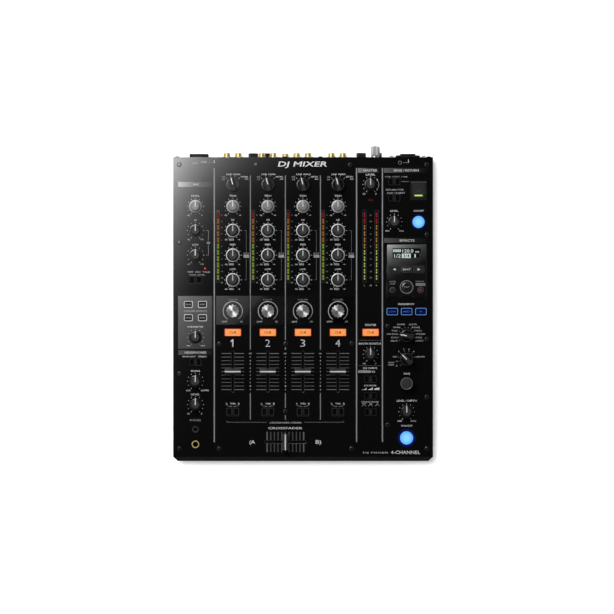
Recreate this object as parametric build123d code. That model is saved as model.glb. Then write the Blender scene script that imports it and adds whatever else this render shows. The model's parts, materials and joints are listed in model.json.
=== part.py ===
from build123d import *

import os
from math import cos, radians, sin

# A four-channel DJ mixer for a booth or a table.
# Units are millimetres. +Z is up, +X is to the player's right and +Y points to the jacks at the back.
# The origin is on the standing surface, under the centre of the overall box.

# Overall size
WIDTH = 320.0
OVERALL_DEPTH = 387.9
OVERALL_HEIGHT = 108.4
CASE_DEPTH = 374.3
TALLEST_KNOB = 20.0
FOOT_HEIGHT = 8.0

# Sheet metal
SHEET = 1.5
PANEL_THICK = 2.0
BEVEL = 5.3
CORNER_CUT = 5.8
HEEL_RISE = 14.0
HEEL_RUN = 9.0
SIDE_FLANGE = 6.2
END_FLANGE = 14.0
REAR_LIP = 6.8
TAB_R = 4.2

# Heights
CASE_BOTTOM = FOOT_HEIGHT
PANEL_TOP = OVERALL_HEIGHT - TALLEST_KNOB
PANEL_UNDER = PANEL_TOP - PANEL_THICK
BOARD_THICK = 1.6
BOARD_TOP = PANEL_UNDER - 10.0
MAIN_BOARD_UNDER = CASE_BOTTOM + SHEET + 8.0

# Ends of the case
FRONT_Y = -OVERALL_DEPTH / 2
PANEL_FRONT_Y = FRONT_Y + BEVEL
REAR_Y = FRONT_Y + CASE_DEPTH
REAR_PLATE_Y = REAR_Y - SHEET

# Columns of controls
LEFT_X = -132.5
CHANNEL_PITCH = 43.15
CHANNEL_X = [-86.5 + CHANNEL_PITCH * i for i in range(4)]
MASTER_X = 83.1
EFFECT_X = 127.5
SEND_X = EFFECT_X - 15.1

# Rows of controls
EQ_PITCH = 30.4
SELECT_Y = 146.6
TRIM_Y = 119.8
HI_Y = 90.0
MID_Y = HI_Y - EQ_PITCH
LOW_Y = MID_Y - EQ_PITCH
COLOR_Y = -9.2
CUE_Y = -35.5
FADER_Y = -83.7
ASSIGN_Y = -133.1
CROSSFADER_Y = -170.4
CROSSFADER_X = (CHANNEL_X[1] + CHANNEL_X[2]) / 2

# Travel of the controls
FADER_TRAVEL = 45.0
BUTTON_TRAVEL = 1.2
SWITCH_TRAVEL = 5.0

# Rotary controls: a shaft that turns in the body of its potentiometer or rotary switch
SHAFT_R = 3.0
SHAFT_BORE_R = 3.05
SHAFT_HOLE_R = 4.25
POT_SIDE = 10.0
POT_HEIGHT = 6.8
POT_BORE_DEPTH = 5.8
KNOB_GAP = 1.0
SHAFT_IN_KNOB = 10.0

# Faders
LEVER_THICK = 1.2
LEVER_LENGTH = 5.0
FADER_CAP = (20.0, 9.0, 14.0)
FADER_CAP_GAP = 1.5
FADER_BODY = (9.5, 64.0, 8.0)
FADER_SLOT = (2.8, FADER_TRAVEL + LEVER_LENGTH + 1.0)

# Slide switches
SWITCH_WINDOW = (13.0, 8.0)
SWITCH_THUMB = (4.0, 6.5)
SWITCH_BODY_HEIGHT = 7.0

# Buttons
BUTTON_GAP = 0.3
BUTTON_BOTTOM = BOARD_TOP + 4.2
CUE_SIZE = (20.3, 9.5)

# Level meters
METER_SIZE = (4.0, 89.0)
METER_Y = 70.6
METER_OFFSET = -18.2
MASTER_METER_OFFSET = 7.4

# Effect window: a clear plate on the panel over the display and its buttons
WINDOW_SIZE = (49.2, 64.9)
WINDOW_Y = 40.6
WINDOW_THICK = 0.8
DISPLAY_SIZE = (34.0, 14.0)
DISPLAY_Y = 61.8

# USB port under a hinged cover
USB_X = EFFECT_X + 14.7
USB_Y = 139.3
USB_FRAME = (20.7, 24.0)
USB_COVER = (17.2, 14.6, 1.6)
USB_HINGE_Y = USB_Y + 9.8
USB_HINGE_Z = PANEL_TOP
USB_BARREL_R = 1.3
USB_PIN_R = 0.75
USB_SLOT = (12.6, 5.2, 11.0)

# Jacks
PHONE_BORE_R = 3.25
PHONE_DEPTH = 22.0
MINI_BORE_R = 1.8
MINI_DEPTH = 14.0
PHONES_Y = -173.3
MINI_PHONES_Y = -155.0
RCA_R = 4.15
RCA_REACH = 4.8
RCA_CONTACT_R = 1.65
RCA_HALF_PITCH = 7.1
RCA_X = [-86.9 + 43.0 * i for i in range(4)]
RCA_ROWS = (68.0, 50.0)
LOW_ROW = 28.0
COAX_X = -22.0
SEND_RETURN_X = (-61.7, -43.9)
BOOTH_X = (71.8, 91.2)
BOOTH_Z = 52.0
XLR_X = (68.0, 94.5)
XLR_Z = 27.0
XLR_R = 11.0
XLR_CAVITY_R = 9.7
XLR_CAVITY_DEPTH = 15.0
GROUND_X = 88.9
GROUND_Z = 72.0
GROUND_R = 6.0
COMBO_X = -128.4
COMBO_Z = 52.0
USB_B_X = -109.4
USB_B_Z = 30.0
INLET_X = 129.5
INLET_Z = 34.0
INLET_SCREWS = 40.0
POWER_Z = 64.0
ROCKER_TILT = 8.0
ROCKER_PIVOT_R = 1.5

# Screws
SCREW_R = 1.45
SCREW_HOLE_R = 1.55
SCREW_HEAD_R = 2.7
SCREW_SINK_R = 3.2
SCREW_SINK = 1.3
EDGE_SCREW_X = WIDTH / 2 - 7.7
REAR_SCREW_Y = REAR_Y - 9.2
FRONT_SCREW_Y = PANEL_FRONT_Y + 10.15
INNER_SCREWS = [(-103.4, -49.3), (-21.6, -49.3), (59.8, -49.0), (104.2, -27.9), (-21.8, -133.0), (104.3, -149.2)]
EDGE_SCREWS = (
    [(x, REAR_SCREW_Y) for x in (-EDGE_SCREW_X, -57.7, 57.7, EDGE_SCREW_X)]
    + [(x, FRONT_SCREW_Y) for x in (-EDGE_SCREW_X, -103.4, 59.8, EDGE_SCREW_X)]
    + [(-EDGE_SCREW_X, y) for y in (75.2, -86.3)]
    + [(EDGE_SCREW_X, y) for y in (85.0, -43.7, -115.3)]
)
REAR_PLATE_SCREWS = [(x, 82.8) for x in (-155.0, -22.0, 21.4, 155.0)] + [(x, 12.0) for x in (-155.0, 0.0, 155.0)]

# Feet
FOOT_R = 13.0
FOOT_XY = [(x, y) for x in (-125.0, 125.0) for y in (-150.0, 145.0)]
FOOT_SCREW_SINK = 5.0


def box(x0, x1, y0, y1, z0, z1):
    """A box between the given limits."""
    return Pos((x0 + x1) / 2, (y0 + y1) / 2, (z0 + z1) / 2) * Box(x1 - x0, y1 - y0, z1 - z0)


def block(x, y, z0, size):
    """A box of the given size, centred on x and y, standing on z0."""
    return Pos(x, y, z0 + size[2] / 2) * Box(*size)


def rod(x, y, z0, z1, radius):
    """An upright cylinder."""
    return Pos(x, y, (z0 + z1) / 2) * Cylinder(radius, z1 - z0)


def rod_back(x, z, y0, y1, radius):
    """A cylinder along Y, from y0 to y1."""
    return Pos(x, (y0 + y1) / 2, z) * Rot(90, 0, 0) * Cylinder(radius, y1 - y0)


def cut_all(body, cutters):
    """The body with every cutter taken out of it."""
    return body - list(cutters)


def save(name, shapes):
    """Writes one node. Several shapes stay separate solids in it."""
    shapes = shapes if isinstance(shapes, list) else [shapes]
    solids = [solid for shape in shapes for solid in shape.solids()]
    export_step(solids[0] if len(solids) == 1 else Compound(children=solids), f"parts/{name}.step")


# ---- Where the controls are ----


def knob_table():
    """{name: (kind, x, y, degrees that its pointer stands left of straight back)} for every rotary control."""
    knobs = {
        "mic_level_knob": ("silver", LEFT_X, TRIM_Y, 0),
        "mic_hi_knob": ("dark", LEFT_X, HI_Y, 0),
        "mic_low_knob": ("dark", LEFT_X, MID_Y, 0),
        "parameter_knob": ("dark", LEFT_X, -41.5, 0),
        "phones_mixing_knob": ("dark", LEFT_X, -95.6, 0),
        "phones_level_knob": ("dark", LEFT_X, -124.3, 0),
        "master_level_knob": ("dark", MASTER_X, SELECT_Y, 0),
        "booth_level_knob": ("dark", MASTER_X, -62.3, 0),
        "send_level_knob": ("dark", SEND_X, 100.6, 0),
        "effect_selector": ("bar", EFFECT_X, -39.6, 78.75),
        "effect_channel_selector": ("bar", EFFECT_X, -68.5, 45),
        "effect_time_knob": ("encoder", EFFECT_X, -98.4, 0),
        "effect_depth_knob": ("dark", EFFECT_X, -133.2, 0),
    }
    for n, x in enumerate(CHANNEL_X, 1):
        knobs[f"ch{n}_input_selector"] = ("bar", x, SELECT_Y, 15)
        knobs[f"ch{n}_trim_knob"] = ("silver", x, TRIM_Y, 0)
        knobs[f"ch{n}_hi_knob"] = ("ringed", x, HI_Y, 0)
        knobs[f"ch{n}_mid_knob"] = ("ringed", x, MID_Y, 0)
        knobs[f"ch{n}_low_knob"] = ("ringed", x, LOW_Y, 0)
        knobs[f"ch{n}_color_knob"] = ("fluted", x, COLOR_Y, 0)
    return knobs


def switch_table():
    """(x, y) of every slide switch."""
    left = [(LEFT_X, 29.3), (LEFT_X, -72.0)]
    curves = [(MASTER_X, y) for y in (-93.1, -113.6, -133.6)]
    sends = [(SEND_X, 150.2), (SEND_X, 130.2)]
    return left + [(x, ASSIGN_Y) for x in CHANNEL_X] + curves + sends


def cue_table():
    """(x, y, width, depth) of every cue button."""
    return [(x, CUE_Y, *CUE_SIZE) for x in [*CHANNEL_X, MASTER_X]]


def effect_button_table():
    """(x, y, width, depth) of every other button. A depth of 0 means a round one of that diameter."""
    colour = [(LEFT_X + dx, y, 11.7, 9.0) for y in (-1.0, -17.4) for dx in (-8.7, 8.7)]
    bands = [(EFFECT_X + dx, -9.8, 14.2, 9.1) for dx in (-17.6, 0, 17.6)]
    beat = [(EFFECT_X + dx, 42.1, 11.3, 6.9) for dx in (-14.8, 14.8)]
    round_ones = [
        (EFFECT_X, 20.4, 12.8, 0),
        (EFFECT_X - 17.3, 16.6, 7.2, 0),
        (EFFECT_X + 17.3, 16.6, 7.2, 0),
        (USB_X, 100.5, 16.0, 0),
        (EFFECT_X, -165.4, 17.0, 0),
    ]
    return colour + bands + beat + round_ones


def meter_table():
    """x of every level meter."""
    return [x + METER_OFFSET for x in CHANNEL_X] + [MASTER_X - MASTER_METER_OFFSET, MASTER_X + MASTER_METER_OFFSET]


def rca_table():
    """(x, z) of every phono jack on the rear plate."""
    jacks = [(x + dx, z) for x in RCA_X for z in RCA_ROWS for dx in (-RCA_HALF_PITCH, RCA_HALF_PITCH)]
    outputs = [(x + dx, LOW_ROW) for x in RCA_X[2:] for dx in (-RCA_HALF_PITCH, RCA_HALF_PITCH)]
    return jacks + outputs + [(COAX_X, LOW_ROW)]


def phone_jack_table():
    """(x, z) of every 6.35 mm jack on the rear plate."""
    return [(x, LOW_ROW) for x in SEND_RETURN_X] + [(x, BOOTH_Z) for x in BOOTH_X]


def button_outline(x, y, width, depth, grow=0.0):
    """The plan of a button, or of the hole that it moves in."""
    if depth == 0:
        return Pos(x, y) * Circle(width / 2 + grow)
    return Pos(x, y) * RectangleRounded(width + 2 * grow, depth + 2 * grow, 1.0 + grow)


# ---- The case ----


def plan_outline(inset=0.0):
    """The case seen from above, with its two front corners cut off."""
    half = WIDTH / 2 - inset
    front = FRONT_Y + inset
    cut_x = CORNER_CUT + 0.4 * inset
    cut_y = BEVEL + 0.4 * inset
    back = REAR_PLATE_Y - inset
    points = [
        (-half, front + cut_y),
        (-half + cut_x, front),
        (half - cut_x, front),
        (half, front + cut_y),
        (half, back),
        (-half, back),
    ]
    return make_face(Polyline(*points, close=True))


def side_outline(inset=0.0):
    """The case seen from the side: a bevel over the front, and a sloping heel under it."""
    front = FRONT_Y + inset
    bottom = CASE_BOTTOM + inset
    slope = 0.41 * inset
    points = [
        (REAR_PLATE_Y - inset, bottom),
        (FRONT_Y + HEEL_RUN + 0.55 * inset, bottom),
        (front, CASE_BOTTOM + HEEL_RISE + slope),
        (front, PANEL_TOP - BEVEL - slope),
        (PANEL_FRONT_Y, PANEL_TOP),
        (PANEL_FRONT_Y, PANEL_UNDER - inset),
        (REAR_PLATE_Y - inset, PANEL_UNDER - inset),
    ]
    if inset:
        # Inside, the bevel runs straight on to the underside of the flange.
        points[4:6] = [(PANEL_FRONT_Y - PANEL_THICK + slope, PANEL_UNDER - inset)]
    return make_face(Polyline(*[(0, y, z) for y, z in points], close=True))


def case_volume(inset=0.0):
    """The case's outer form, or its inside where inset is the sheet's thickness."""
    half = WIDTH / 2 - inset
    from_side = extrude(Pos(-half, 0, 0) * side_outline(inset), amount=2 * half, dir=(1, 0, 0))
    from_above = extrude(plan_outline(inset), amount=PANEL_TOP + 1)
    return from_side & from_above


def chassis():
    """Folded tub: floor, sides, front with its bevel, and flanges that the panel and the rear plate screw to."""
    body = case_volume() - case_volume(SHEET)
    top_hole = box(
        -WIDTH / 2 + SIDE_FLANGE,
        WIDTH / 2 - SIDE_FLANGE,
        PANEL_FRONT_Y + END_FLANGE,
        REAR_PLATE_Y - END_FLANGE,
        PANEL_UNDER - 3,
        PANEL_TOP,
    )
    rear_hole = box(
        -WIDTH / 2 + 8, WIDTH / 2 - 8, REAR_PLATE_Y - 3, REAR_PLATE_Y + 1, CASE_BOTTOM + REAR_LIP, PANEL_UNDER - 6
    )
    jack_relief = box(LEFT_X - 9, LEFT_X + 9, PHONES_Y - 8, PHONES_Y + 12, PANEL_UNDER - 3, PANEL_UNDER + 1)
    tabs = [rod(x, y, PANEL_UNDER - SHEET, PANEL_UNDER, TAB_R) for x, y in EDGE_SCREWS if abs(x) > 150]
    screw_holes = [rod(x, y, PANEL_UNDER - 3, PANEL_TOP, SCREW_HOLE_R) for x, y in EDGE_SCREWS]
    screw_holes += [rod_back(x, z, REAR_PLATE_Y - 3, REAR_PLATE_Y + 1, SCREW_HOLE_R) for x, z in REAR_PLATE_SCREWS]
    screw_holes += [rod(x, y, CASE_BOTTOM - 1, CASE_BOTTOM + 3, SCREW_HOLE_R) for x, y in FOOT_XY]
    side_vents = [
        block(side * WIDTH / 2, 60 + 7 * i, 30, (6, 2.6, 34)) for side in (-1, 1) for i in range(12)
    ]
    floor_vents = [block(-60 + 8 * i, 40, CASE_BOTTOM - 1, (2.6, 60, 4)) for i in range(16)]
    body = body - top_hole + tabs
    body = cut_all(body, [rear_hole, jack_relief, *screw_holes, *side_vents, *floor_vents])
    posts = [
        rod(x, y, CASE_BOTTOM + SHEET - 0.5, MAIN_BOARD_UNDER, 3.5)
        for x, y in board_posts(MAIN_BOARD) + board_posts(POWER_BOARD)
    ]
    return body + posts


def panel_cutouts():
    """The plan of every hole in the top panel but the screw holes."""
    holes = [Pos(x, y) * Circle(SHAFT_HOLE_R) for kind, x, y, turn in knob_table().values()]
    holes += [button_outline(*b, grow=BUTTON_GAP) for b in cue_table() + effect_button_table()]
    holes += [Pos(x, y) * Rectangle(*SWITCH_WINDOW) for x, y in switch_table()]
    holes += [Pos(x, FADER_Y) * RectangleRounded(*FADER_SLOT, 1.0) for x in CHANNEL_X]
    holes += [Pos(CROSSFADER_X, CROSSFADER_Y) * RectangleRounded(FADER_SLOT[1], FADER_SLOT[0], 1.0)]
    holes += [Pos(x, METER_Y) * RectangleRounded(METER_SIZE[0] + 0.2, METER_SIZE[1] + 0.2, 1.0) for x in meter_table()]
    holes += [Pos(EFFECT_X, DISPLAY_Y) * Rectangle(*DISPLAY_SIZE)]
    holes += [Pos(USB_X, USB_Y) * RectangleRounded(USB_FRAME[0] + 0.2, USB_FRAME[1] + 0.2, 1.0)]
    holes += [Pos(LEFT_X, PHONES_Y) * Circle(5.4), Pos(LEFT_X, MINI_PHONES_Y) * Circle(3.8)]
    return holes


def top_panel():
    """Flat faceplate with every control's hole, and a sunk seat for each screw."""
    outline = Pos(0, (PANEL_FRONT_Y + REAR_Y) / 2) * Rectangle(WIDTH, REAR_Y - PANEL_FRONT_Y)
    plate = extrude(Pos(0, 0, PANEL_UNDER) * (outline - panel_cutouts()), amount=PANEL_THICK)
    screws = INNER_SCREWS + EDGE_SCREWS
    holes = [rod(x, y, PANEL_UNDER - 1, PANEL_TOP + 1, SCREW_HOLE_R) for x, y in screws]
    holes += [rod(x, y, PANEL_TOP - SCREW_SINK, PANEL_TOP + 1, SCREW_SINK_R) for x, y in screws]
    return cut_all(plate, holes)


def rear_panel():
    """Upright plate with a hole for each jack."""
    plate = box(-WIDTH / 2, WIDTH / 2, REAR_PLATE_Y, REAR_Y, CASE_BOTTOM, PANEL_UNDER)
    y0, y1 = REAR_PLATE_Y - 1, REAR_Y + 1
    holes = [rod_back(x, z, y0, y1, RCA_R + 0.5) for x, z in rca_table()]
    holes += [rod_back(x, z, y0, y1, 4.6) for x, z in phone_jack_table()]
    holes += [rod_back(x, XLR_Z, y0, y1, XLR_R + 0.1) for x in XLR_X]
    holes += [rod_back(COMBO_X, COMBO_Z, y0, y1, 11.3), rod_back(GROUND_X, GROUND_Z, y0, y1, 2.1)]
    holes += [box(INLET_X - 13.7, INLET_X + 13.7, y0, y1, INLET_Z - 10.2, INLET_Z + 10.2)]
    holes += [box(INLET_X - 6.7, INLET_X + 6.7, y0, y1, POWER_Z - 10.2, POWER_Z + 10.2)]
    holes += [box(USB_B_X - 6.1, USB_B_X + 6.1, y0, y1, USB_B_Z - 5.6, USB_B_Z + 5.6)]
    holes += [rod_back(x, z, y0, y1, SCREW_HOLE_R) for x, z in REAR_PLATE_SCREWS]
    holes += [rod_back(INLET_X + dx, INLET_Z, y0, y1, SCREW_HOLE_R) for dx in (-INLET_SCREWS / 2, INLET_SCREWS / 2)]
    return cut_all(plate, holes)


def feet():
    """Four rubber feet, each with a sunk hole for its screw."""
    made = []
    for x, y in FOOT_XY:
        body = rod(x, y, 0, FOOT_HEIGHT, FOOT_R)
        body = chamfer(body.edges().group_by(Axis.Z)[0], 1.2)
        hole = rod(x, y, -1, FOOT_HEIGHT + 1, SCREW_HOLE_R)
        sink = rod(x, y, -1, FOOT_SCREW_SINK, 4.0)
        made.append(body - hole - sink)
    return made


def screw_up(x, y, head_under, length):
    """A screw whose head is on top and whose shank points down."""
    head = rod(x, y, head_under, head_under + 1.1, SCREW_HEAD_R)
    socket = Pos(x, y, head_under + 0.9) * Cylinder(1.2, 0.8)
    return head + rod(x, y, head_under - length, head_under, SCREW_R) - socket


def screw_back(x, z, head_face, length, head_r=SCREW_HEAD_R):
    """A screw in the rear plate, with its head outside."""
    head = rod_back(x, z, head_face, head_face + 1.8, head_r)
    return head + rod_back(x, z, head_face - length, head_face, SCREW_R)


def screws():
    """Every visible fastener: the panel's, the rear plate's, the mains inlet's and the feet's."""
    seat = PANEL_TOP - SCREW_SINK
    made = [screw_up(x, y, seat, 8.0) for x, y in INNER_SCREWS + EDGE_SCREWS]
    made += [screw_back(x, z, REAR_Y, 6.0) for x, z in REAR_PLATE_SCREWS]
    made += [screw_back(INLET_X + dx, INLET_Z, REAR_Y + 1.0, 6.0) for dx in (-INLET_SCREWS / 2, INLET_SCREWS / 2)]
    for x, y in FOOT_XY:
        head = rod(x, y, FOOT_SCREW_SINK - 1.6, FOOT_SCREW_SINK, SCREW_HEAD_R)
        made.append(head + rod(x, y, FOOT_SCREW_SINK, FOOT_SCREW_SINK + 9, SCREW_R))
    return made


# ---- Windows ----


def display_windows():
    """The clear strips over the level meters, and the plate over the effect display."""
    strips = [
        extrude(Pos(x, METER_Y, PANEL_UNDER) * RectangleRounded(*METER_SIZE, 1.0), amount=PANEL_THICK)
        for x in meter_table()
    ]
    outline = Pos(EFFECT_X, WINDOW_Y) * RectangleRounded(*WINDOW_SIZE, 1.5)
    inside = [b for b in effect_button_table() if abs(b[1] - WINDOW_Y) < WINDOW_SIZE[1] / 2 and b[0] > MASTER_X]
    plate = outline - [button_outline(*b, grow=BUTTON_GAP) for b in inside]
    return [*strips, extrude(Pos(0, 0, PANEL_TOP) * plate, amount=WINDOW_THICK)]


# ---- Rotary controls ----


def knob_blank(kind):
    """The grip of a rotary control, standing on z = 0, with its pointer straight back."""
    if kind == "bar":
        base = Cone(8.0, 7.6, 7.0, align=(Align.CENTER, Align.CENTER, Align.MIN))
        bar = block(0, 0, 7.0, (5.0, 15.4, 10.0)) & rod(0, 0, 0, 17.0, 7.6)
        return base + bar
    if kind == "fluted":
        body = Cylinder(8.5, TALLEST_KNOB - KNOB_GAP, align=(Align.CENTER, Align.CENTER, Align.MIN))
        flutes = [
            rod(9.3 * cos(radians(a)), 9.3 * sin(radians(a)), 3.0, TALLEST_KNOB, 1.4) for a in range(15, 375, 30)
        ]
        return cut_all(body, flutes)
    if kind == "encoder":
        body = Cylinder(7.75, 14.0, align=(Align.CENTER, Align.CENTER, Align.MIN))
        return chamfer(body.edges().group_by(Axis.Z)[-1], 1.0)
    base_r, foot_r, head_r = {"silver": (8.1, 7.1, 5.2), "dark": (7.7, 6.9, 5.6), "ringed": (8.5, 6.6, 5.1)}[kind]
    skirt = Cylinder(base_r, 3.0, align=(Align.CENTER, Align.CENTER, Align.MIN))
    grip = Pos(0, 0, 3.0) * Cone(foot_r, head_r, 13.0, align=(Align.CENTER, Align.CENTER, Align.MIN))
    return skirt + grip


def knob(blank, x, y, turn):
    """A grip with the shaft that turns with it. The shaft reaches down into the bore of its pot."""
    under = PANEL_TOP + KNOB_GAP
    shaft_top = under + SHAFT_IN_KNOB
    shaft = rod(0, 0, BOARD_TOP + POT_HEIGHT - POT_BORE_DEPTH + 0.3, shaft_top, SHAFT_R)
    grip = Pos(0, 0, under) * blank - rod(0, 0, under - 1, shaft_top, SHAFT_R)
    place = Pos(x, y) * Rot(0, 0, turn)
    return [place * grip, place * shaft]


def potentiometers():
    """The body under each rotary control, with the bore that its shaft turns in."""
    made = []
    for kind, x, y, turn in knob_table().values():
        body = block(x, y, BOARD_TOP, (POT_SIDE, POT_SIDE + 1, POT_HEIGHT))
        top = BOARD_TOP + POT_HEIGHT
        made.append(body - rod(x, y, top - POT_BORE_DEPTH, top + 1, SHAFT_BORE_R))
    return made


# ---- Faders ----


def fader_cap():
    """A cap with a ridge across it, sloping finger faces and ends that taper, standing on z = 0."""
    width, depth, height = FADER_CAP
    half, ridge = depth / 2, 1.0
    section = Polyline(
        (0, -half, 0), (0, half, 0), (0, half - 0.2, 0.6 * height), (0, ridge, height),
        (0, -ridge, height), (0, -half + 0.2, 0.6 * height), close=True,
    )
    bar = extrude(Pos(-width / 2, 0, 0) * make_face(section), amount=width, dir=(1, 0, 0))
    taper = Polyline(
        (-width / 2, -ridge), (-width / 2 + 2.5, -half), (width / 2 - 2.5, -half), (width / 2, -ridge),
        (width / 2, ridge), (width / 2 - 2.5, half), (-width / 2 + 2.5, half), (-width / 2, ridge), close=True,
    )
    return bar & extrude(make_face(taper), amount=height)


def fader(x, y, turn):
    """A cap on the flat steel lever that runs in the fader's body."""
    under = PANEL_TOP + FADER_CAP_GAP
    lever = block(0, 0, BOARD_TOP + 3.0, (LEVER_THICK, LEVER_LENGTH, under + 9.0 - BOARD_TOP - 3.0))
    cap = Pos(0, 0, under) * fader_cap() - lever
    place = Pos(x, y) * Rot(0, 0, turn)
    return [place * cap, place * lever]


def fader_units():
    """The steel channel that each fader's lever runs in."""
    places = [(x, FADER_Y, 0) for x in CHANNEL_X] + [(CROSSFADER_X, CROSSFADER_Y, 90)]
    made = []
    for x, y, turn in places:
        channel = block(0, 0, BOARD_TOP, FADER_BODY)
        groove = block(0, 0, BOARD_TOP + 2.0, (2.4, FADER_SLOT[1], FADER_BODY[2]))
        made.append(Pos(x, y) * Rot(0, 0, turn) * (channel - groove))
    return made


# ---- Buttons, switches and the USB cover ----


def buttons(table, proud):
    """Every button in a table, standing on its tact switch and proud of the panel."""
    top = PANEL_TOP + proud
    return [extrude(Pos(0, 0, BUTTON_BOTTOM) * button_outline(*b), amount=top - BUTTON_BOTTOM) for b in table]


def slide_switches():
    """The thumb of each slide switch: a cap on a stem that runs in the slot of its body."""
    body_top = BOARD_TOP + SWITCH_BODY_HEIGHT
    made = []
    for x, y in switch_table():
        cap = block(x, y, body_top + 0.4, (*SWITCH_THUMB, PANEL_TOP + 1.4 - body_top - 0.4))
        made.append(cap + block(x, y, body_top - 2.0, (SWITCH_THUMB[0], 1.8, 2.5)))
    return made


def usb_cover():
    """A flap with a hinge barrel along its back edge, and a pin at each end of the barrel."""
    width, depth, thick = USB_COVER
    top = USB_HINGE_Z
    flap = box(USB_X - width / 2, USB_X + width / 2, USB_HINGE_Y - depth, USB_HINGE_Y, top - thick, top)
    barrel = Pos(USB_X, USB_HINGE_Y, USB_HINGE_Z) * Rot(0, 90, 0) * Cylinder(USB_BARREL_R, width)
    pin = Pos(USB_X, USB_HINGE_Y, USB_HINGE_Z) * Rot(0, 90, 0) * Cylinder(USB_PIN_R, width + 2.2)
    return flap + barrel + pin


def usb_frame():
    """The bezel round the cover, with an ear for each hinge pin and a sill for the port's light."""
    x0, x1 = USB_X - USB_FRAME[0] / 2, USB_X + USB_FRAME[0] / 2
    y0, y1 = USB_Y - USB_FRAME[1] / 2, USB_Y + USB_FRAME[1] / 2
    outline = Pos(USB_X, USB_Y, PANEL_UNDER - 4.0) * RectangleRounded(*USB_FRAME, 1.0)
    body = extrude(outline, amount=PANEL_TOP + 0.3 - PANEL_UNDER + 4.0)
    clear = USB_COVER[0] / 2 + 0.2
    well = box(USB_X - clear, USB_X + clear, USB_HINGE_Y - USB_COVER[1] - 0.4, y1 + 1, PANEL_UNDER - 2.0, PANEL_TOP + 1)
    port = block(USB_X, USB_Y, PANEL_UNDER - 9.0, (USB_SLOT[0], USB_SLOT[1], 12))
    ears = box(x0, x1, USB_HINGE_Y - 2, y1 - 0.6, PANEL_TOP, PANEL_TOP + 1.6)
    ears -= box(USB_X - clear, USB_X + clear, USB_HINGE_Y - 3, y1 + 1, PANEL_TOP - 1, PANEL_TOP + 3)
    pin_hole = Pos(USB_X, USB_HINGE_Y, USB_HINGE_Z) * Rot(0, 90, 0) * Cylinder(USB_PIN_R + 0.05, USB_COVER[0] + 2.6)
    return body - well - port + ears - pin_hole


def usb_socket():
    """The host port's metal shell, hanging under the bezel."""
    top = PANEL_UNDER - 4.0
    shell = block(USB_X, USB_Y, top - 12.0, (14.6, 7.2, 12.0))
    return shell - block(USB_X, USB_Y, top - 11.0, (USB_SLOT[0], USB_SLOT[1], 12.0))


# ---- Jacks ----


def rca_jacks():
    """Phono jacks: a gold barrel on a collar that fills the hole in the rear plate, and a housing behind it."""
    made = []
    for x, z in rca_table():
        barrel = rod_back(x, z, REAR_Y, REAR_Y + RCA_REACH, RCA_R)
        collar = rod_back(x, z, REAR_PLATE_Y, REAR_Y, RCA_R + 0.45)
        housing = box(x - 5.5, x + 5.5, REAR_PLATE_Y - 12, REAR_PLATE_Y, z - 6, z + 6)
        contact = rod_back(x, z, REAR_Y - 8, REAR_Y + RCA_REACH + 1, RCA_CONTACT_R)
        made += [barrel + collar - contact, housing - contact]
    return made


def phone_jack_rear(x, z):
    """A 6.35 mm jack with its nut outside the rear plate."""
    nut = rod_back(x, z, REAR_Y, REAR_Y + 5.3, 5.35)
    neck = rod_back(x, z, REAR_PLATE_Y, REAR_Y, 4.5)
    inside = box(x - 7.5, x + 7.5, REAR_PLATE_Y - 22, REAR_PLATE_Y, z - 7.5, z + 7.5)
    mouth = REAR_Y + 5.3
    return nut + neck + inside - rod_back(x, z, mouth - PHONE_DEPTH, mouth + 1, PHONE_BORE_R)


def phone_jack_top(y, bore_r, depth, nut_r, neck_r, side):
    """A headphone jack that stands upright in the top panel."""
    top = PANEL_TOP + 1.2
    nut = rod(LEFT_X, y, PANEL_TOP, top, nut_r)
    neck = rod(LEFT_X, y, PANEL_UNDER, PANEL_TOP, neck_r)
    inside = block(LEFT_X, y, PANEL_UNDER - depth, (side, side, depth))
    return nut + neck + inside - rod(LEFT_X, y, top - depth, top + 1, bore_r)


def xlr_output(x):
    """A three-pole output, flush with the rear plate, whose shell holds an open cavity."""
    shell = rod_back(x, XLR_Z, REAR_Y - 22, REAR_Y, XLR_R)
    flange = box(x - 12, x + 12, REAR_PLATE_Y - 2, REAR_PLATE_Y, XLR_Z - 12, XLR_Z + 12)
    return shell + flange - rod_back(x, XLR_Z, REAR_Y - XLR_CAVITY_DEPTH, REAR_Y + 1, XLR_CAVITY_R)


def combo_input():
    """The microphone input: a flange outside the rear plate round a bore for a 6.35 mm plug."""
    flange = box(COMBO_X - 11.75, COMBO_X + 11.75, REAR_Y, REAR_Y + 3.7, COMBO_Z - 14, COMBO_Z + 14)
    flange = fillet(flange.edges().filter_by(Axis.Y), 3.0)
    body = rod_back(COMBO_X, COMBO_Z, REAR_Y - 24, REAR_Y, 11.2)
    return flange + body - rod_back(COMBO_X, COMBO_Z, REAR_Y + 3.7 - PHONE_DEPTH, REAR_Y + 5, PHONE_BORE_R)


def mains_inlet():
    """The mains inlet: a bezel with two thin ears, and a cavity with cut corners for the lead's connector."""
    bezel = box(INLET_X - 15, INLET_X + 15, REAR_Y, REAR_Y + 3.3, INLET_Z - 12, INLET_Z + 12)
    ears = box(INLET_X - 25, INLET_X + 25, REAR_Y, REAR_Y + 1.0, INLET_Z - 7, INLET_Z + 7)
    inside = box(INLET_X - 13.5, INLET_X + 13.5, REAR_Y - 24, REAR_Y, INLET_Z - 10, INLET_Z + 10)
    cavity = box(INLET_X - 12, INLET_X + 12, REAR_Y - 14, REAR_Y + 5, INLET_Z - 8, INLET_Z + 8)
    cavity = chamfer(cavity.edges().filter_by(Axis.Y).group_by(Axis.Z)[-1], 4.0)
    holes = [rod_back(INLET_X + dx, INLET_Z, REAR_Y - 1, REAR_Y + 2, SCREW_HOLE_R) for dx in (-20, 20)]
    return cut_all(bezel + ears + inside - cavity, holes)


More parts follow.
